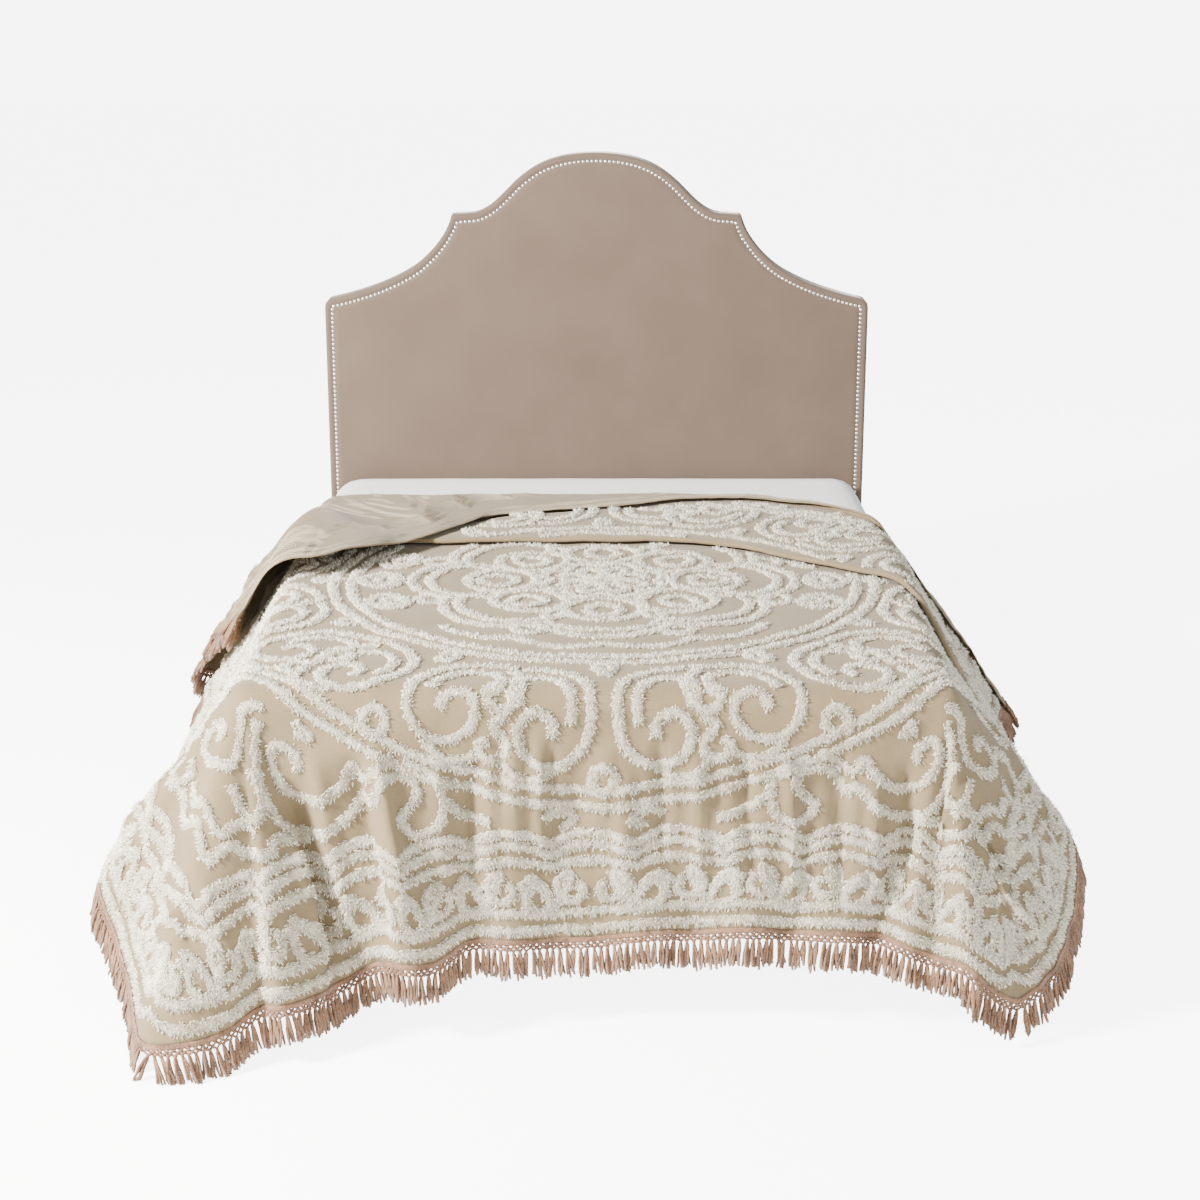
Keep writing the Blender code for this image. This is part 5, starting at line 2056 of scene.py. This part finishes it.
# %% The padded panel
BOARD_FRONT, BOARD_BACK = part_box("headboard")[0].y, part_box("headboard")[1].y
NAIL_INSET = 0.022
GROOVE_HALF_WIDTH = 0.008
GROOVE_DEPTH = 0.0035
RIM_DEPTH = 0.004
EDGE_ROUND = 0.010
CROWN_REACH = 0.16
BACK_SHARE = 0.985
RING_SHARES = np.concatenate([np.linspace(1.0, 0.90, 22), np.linspace(0.89, 0.0, 16)])


def front_depth(distance):
    """How far back from the foremost plane the front lies, at that distance from the outline."""
    rounded = EDGE_ROUND * (1 - np.sqrt(np.clip(1 - (1 - np.minimum(distance / EDGE_ROUND, 1)) ** 2, 0, 1)))
    groove = GROOVE_DEPTH * np.exp(-(((distance - NAIL_INSET) / GROOVE_HALF_WIDTH) ** 2))
    field = smoothstep(NAIL_INSET, CROWN_REACH, distance)
    return rounded + groove + RIM_DEPTH * (1 - field)


def panel_places(flat, depth):
    """Room places of (x, z) places of the panel, at that depth."""
    return np.stack([flat[:, 0], np.broadcast_to(depth, len(flat)), flat[:, 1]], axis=-1)


def headboard_panel():
    """Rings of points from the middle of the front out over the edge to the back."""
    count = len(outline)
    front = []
    for share in RING_SHARES[:-1]:
        ring_points = FIELD_MIDDLE + (outline - FIELD_MIDDLE) * share
        front.append(panel_places(ring_points, BOARD_FRONT + front_depth(inside_distance(ring_points))))
    back = FIELD_MIDDLE + (outline - FIELD_MIDDLE) * BACK_SHARE
    loops = front[::-1] + [panel_places(outline, BOARD_BACK - EDGE_ROUND), panel_places(back, BOARD_BACK)]
    middles = [panel_places(FIELD_MIDDLE[None], depth) for depth in (BOARD_FRONT, BOARD_BACK)]
    points = np.concatenate([*loops, *middles])
    points[:, 0] += BED_MIDDLE[0]
    faces = []
    for k in range(len(loops) - 1):
        for i in range(count):
            j = (i + 1) % count
            faces.append((k * count + i, k * count + j, (k + 1) * count + j, (k + 1) * count + i))
    front_middle, back_middle = len(loops) * count, len(loops) * count + 1
    last = (len(loops) - 1) * count
    for i in range(count):
        j = (i + 1) % count
        faces.append((front_middle, j, i))
        faces.append((back_middle, last + i, last + j))
    mesh = bpy.data.meshes.new("headboard_panel")
    mesh.from_pydata(points.tolist(), [], faces)
    mesh.update()
    bm = bmesh.new()
    bm.from_mesh(mesh)
    bmesh.ops.recalc_face_normals(bm, faces=bm.faces)
    bm.to_mesh(mesh)
    bm.free()
    mesh.shade_smooth()
    mesh.materials.append(velvet)
    return add_object("headboard_panel", mesh)


panel = headboard_panel()
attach(panel, "root")
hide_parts("headboard")
print("headboard:", triangles_in(panel), "triangles")

# %% [markdown]
# ### Nails
#
# The nails follow the outline 22 mm inside it. Stepping evenly along that inner line gives their
# places, and Geometry Nodes put a small domed head on each.

# %% Nail places and the nail tree
NAIL_PITCH = 0.0125
NAIL_RADIUS = 0.0050
NAIL_DOME = 0.0030
LOWEST_NAIL = 0.62
INSET_SLACK = 0.0012


def nail_line():
    """Places on the line that runs NAIL_INSET inside the outline."""
    ahead = unit(np.roll(outline, -1, axis=0) - np.roll(outline, 1, axis=0))
    inner = outline + np.stack([ahead[:, 1], -ahead[:, 0]], axis=-1) * NAIL_INSET
    kept = inner[inside_distance(inner) > NAIL_INSET - INSET_SLACK]
    kept = kept[kept[:, 1] > LOWEST_NAIL]
    run = run_along(kept)
    return read_along(np.arange(0, run[-1], NAIL_PITCH), run, kept)


def nail_tree():
    tree, given, result = geometry_tree(
        "nails", [("Radius", FLOAT, NAIL_RADIUS), ("Dome", FLOAT, NAIL_DOME), ("Material", MATERIAL, None)]
    )
    head = add_node(tree, "GeometryNodeMeshUVSphere", {"Segments": 10, "Rings": 6, "Radius": 1.0})
    radius, dome = given.outputs["Radius"], given.outputs["Dome"]
    size = add_node(tree, "ShaderNodeCombineXYZ", {"X": radius, "Y": dome, "Z": radius})
    placed = place_copies(tree, given, head, scale=size.outputs[0])
    return finish_tree(tree, placed, given, result)


nail_places = nail_line()
nail_y = BOARD_FRONT + front_depth(np.array([NAIL_INSET]))[0]
nail_points = panel_places(nail_places + (BED_MIDDLE[0], 0.0), nail_y)
nail_spots = points_object("nail_spots", nail_points, {}, {})
made = run_tree(nail_spots, nail_tree(), {"Radius": NAIL_RADIUS, "Dome": NAIL_DOME, "Material": nickel})
nails = add_object("nails", made)
nails.data.shade_smooth()
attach(nails, "root")
print(len(nail_places), "nails")

# %% [markdown]
# ## Legs and struts
#
# The legs and the headboard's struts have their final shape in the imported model, so they stay and only
# take a wood finish.

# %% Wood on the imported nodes
LEGS = ("leg_foot_left", "leg_foot_right", "leg_head_left", "leg_head_right")
WOOD_NODES = (*LEGS, "strut_left", "strut_right")
for node_name in WOOD_NODES:
    node = frame["nodes"][node_name]
    node.data.materials.clear()
    node.data.materials.append(wood)

# %% [markdown]
# ## Count the triangles
#
# The triangles of every shown mesh are counted, before modifiers.

shown = [obj for obj in bpy.context.scene.objects if obj.type == "MESH" and not obj.hide_render]
print(sum(triangles_in(obj) for obj in shown), "triangles before modifiers")
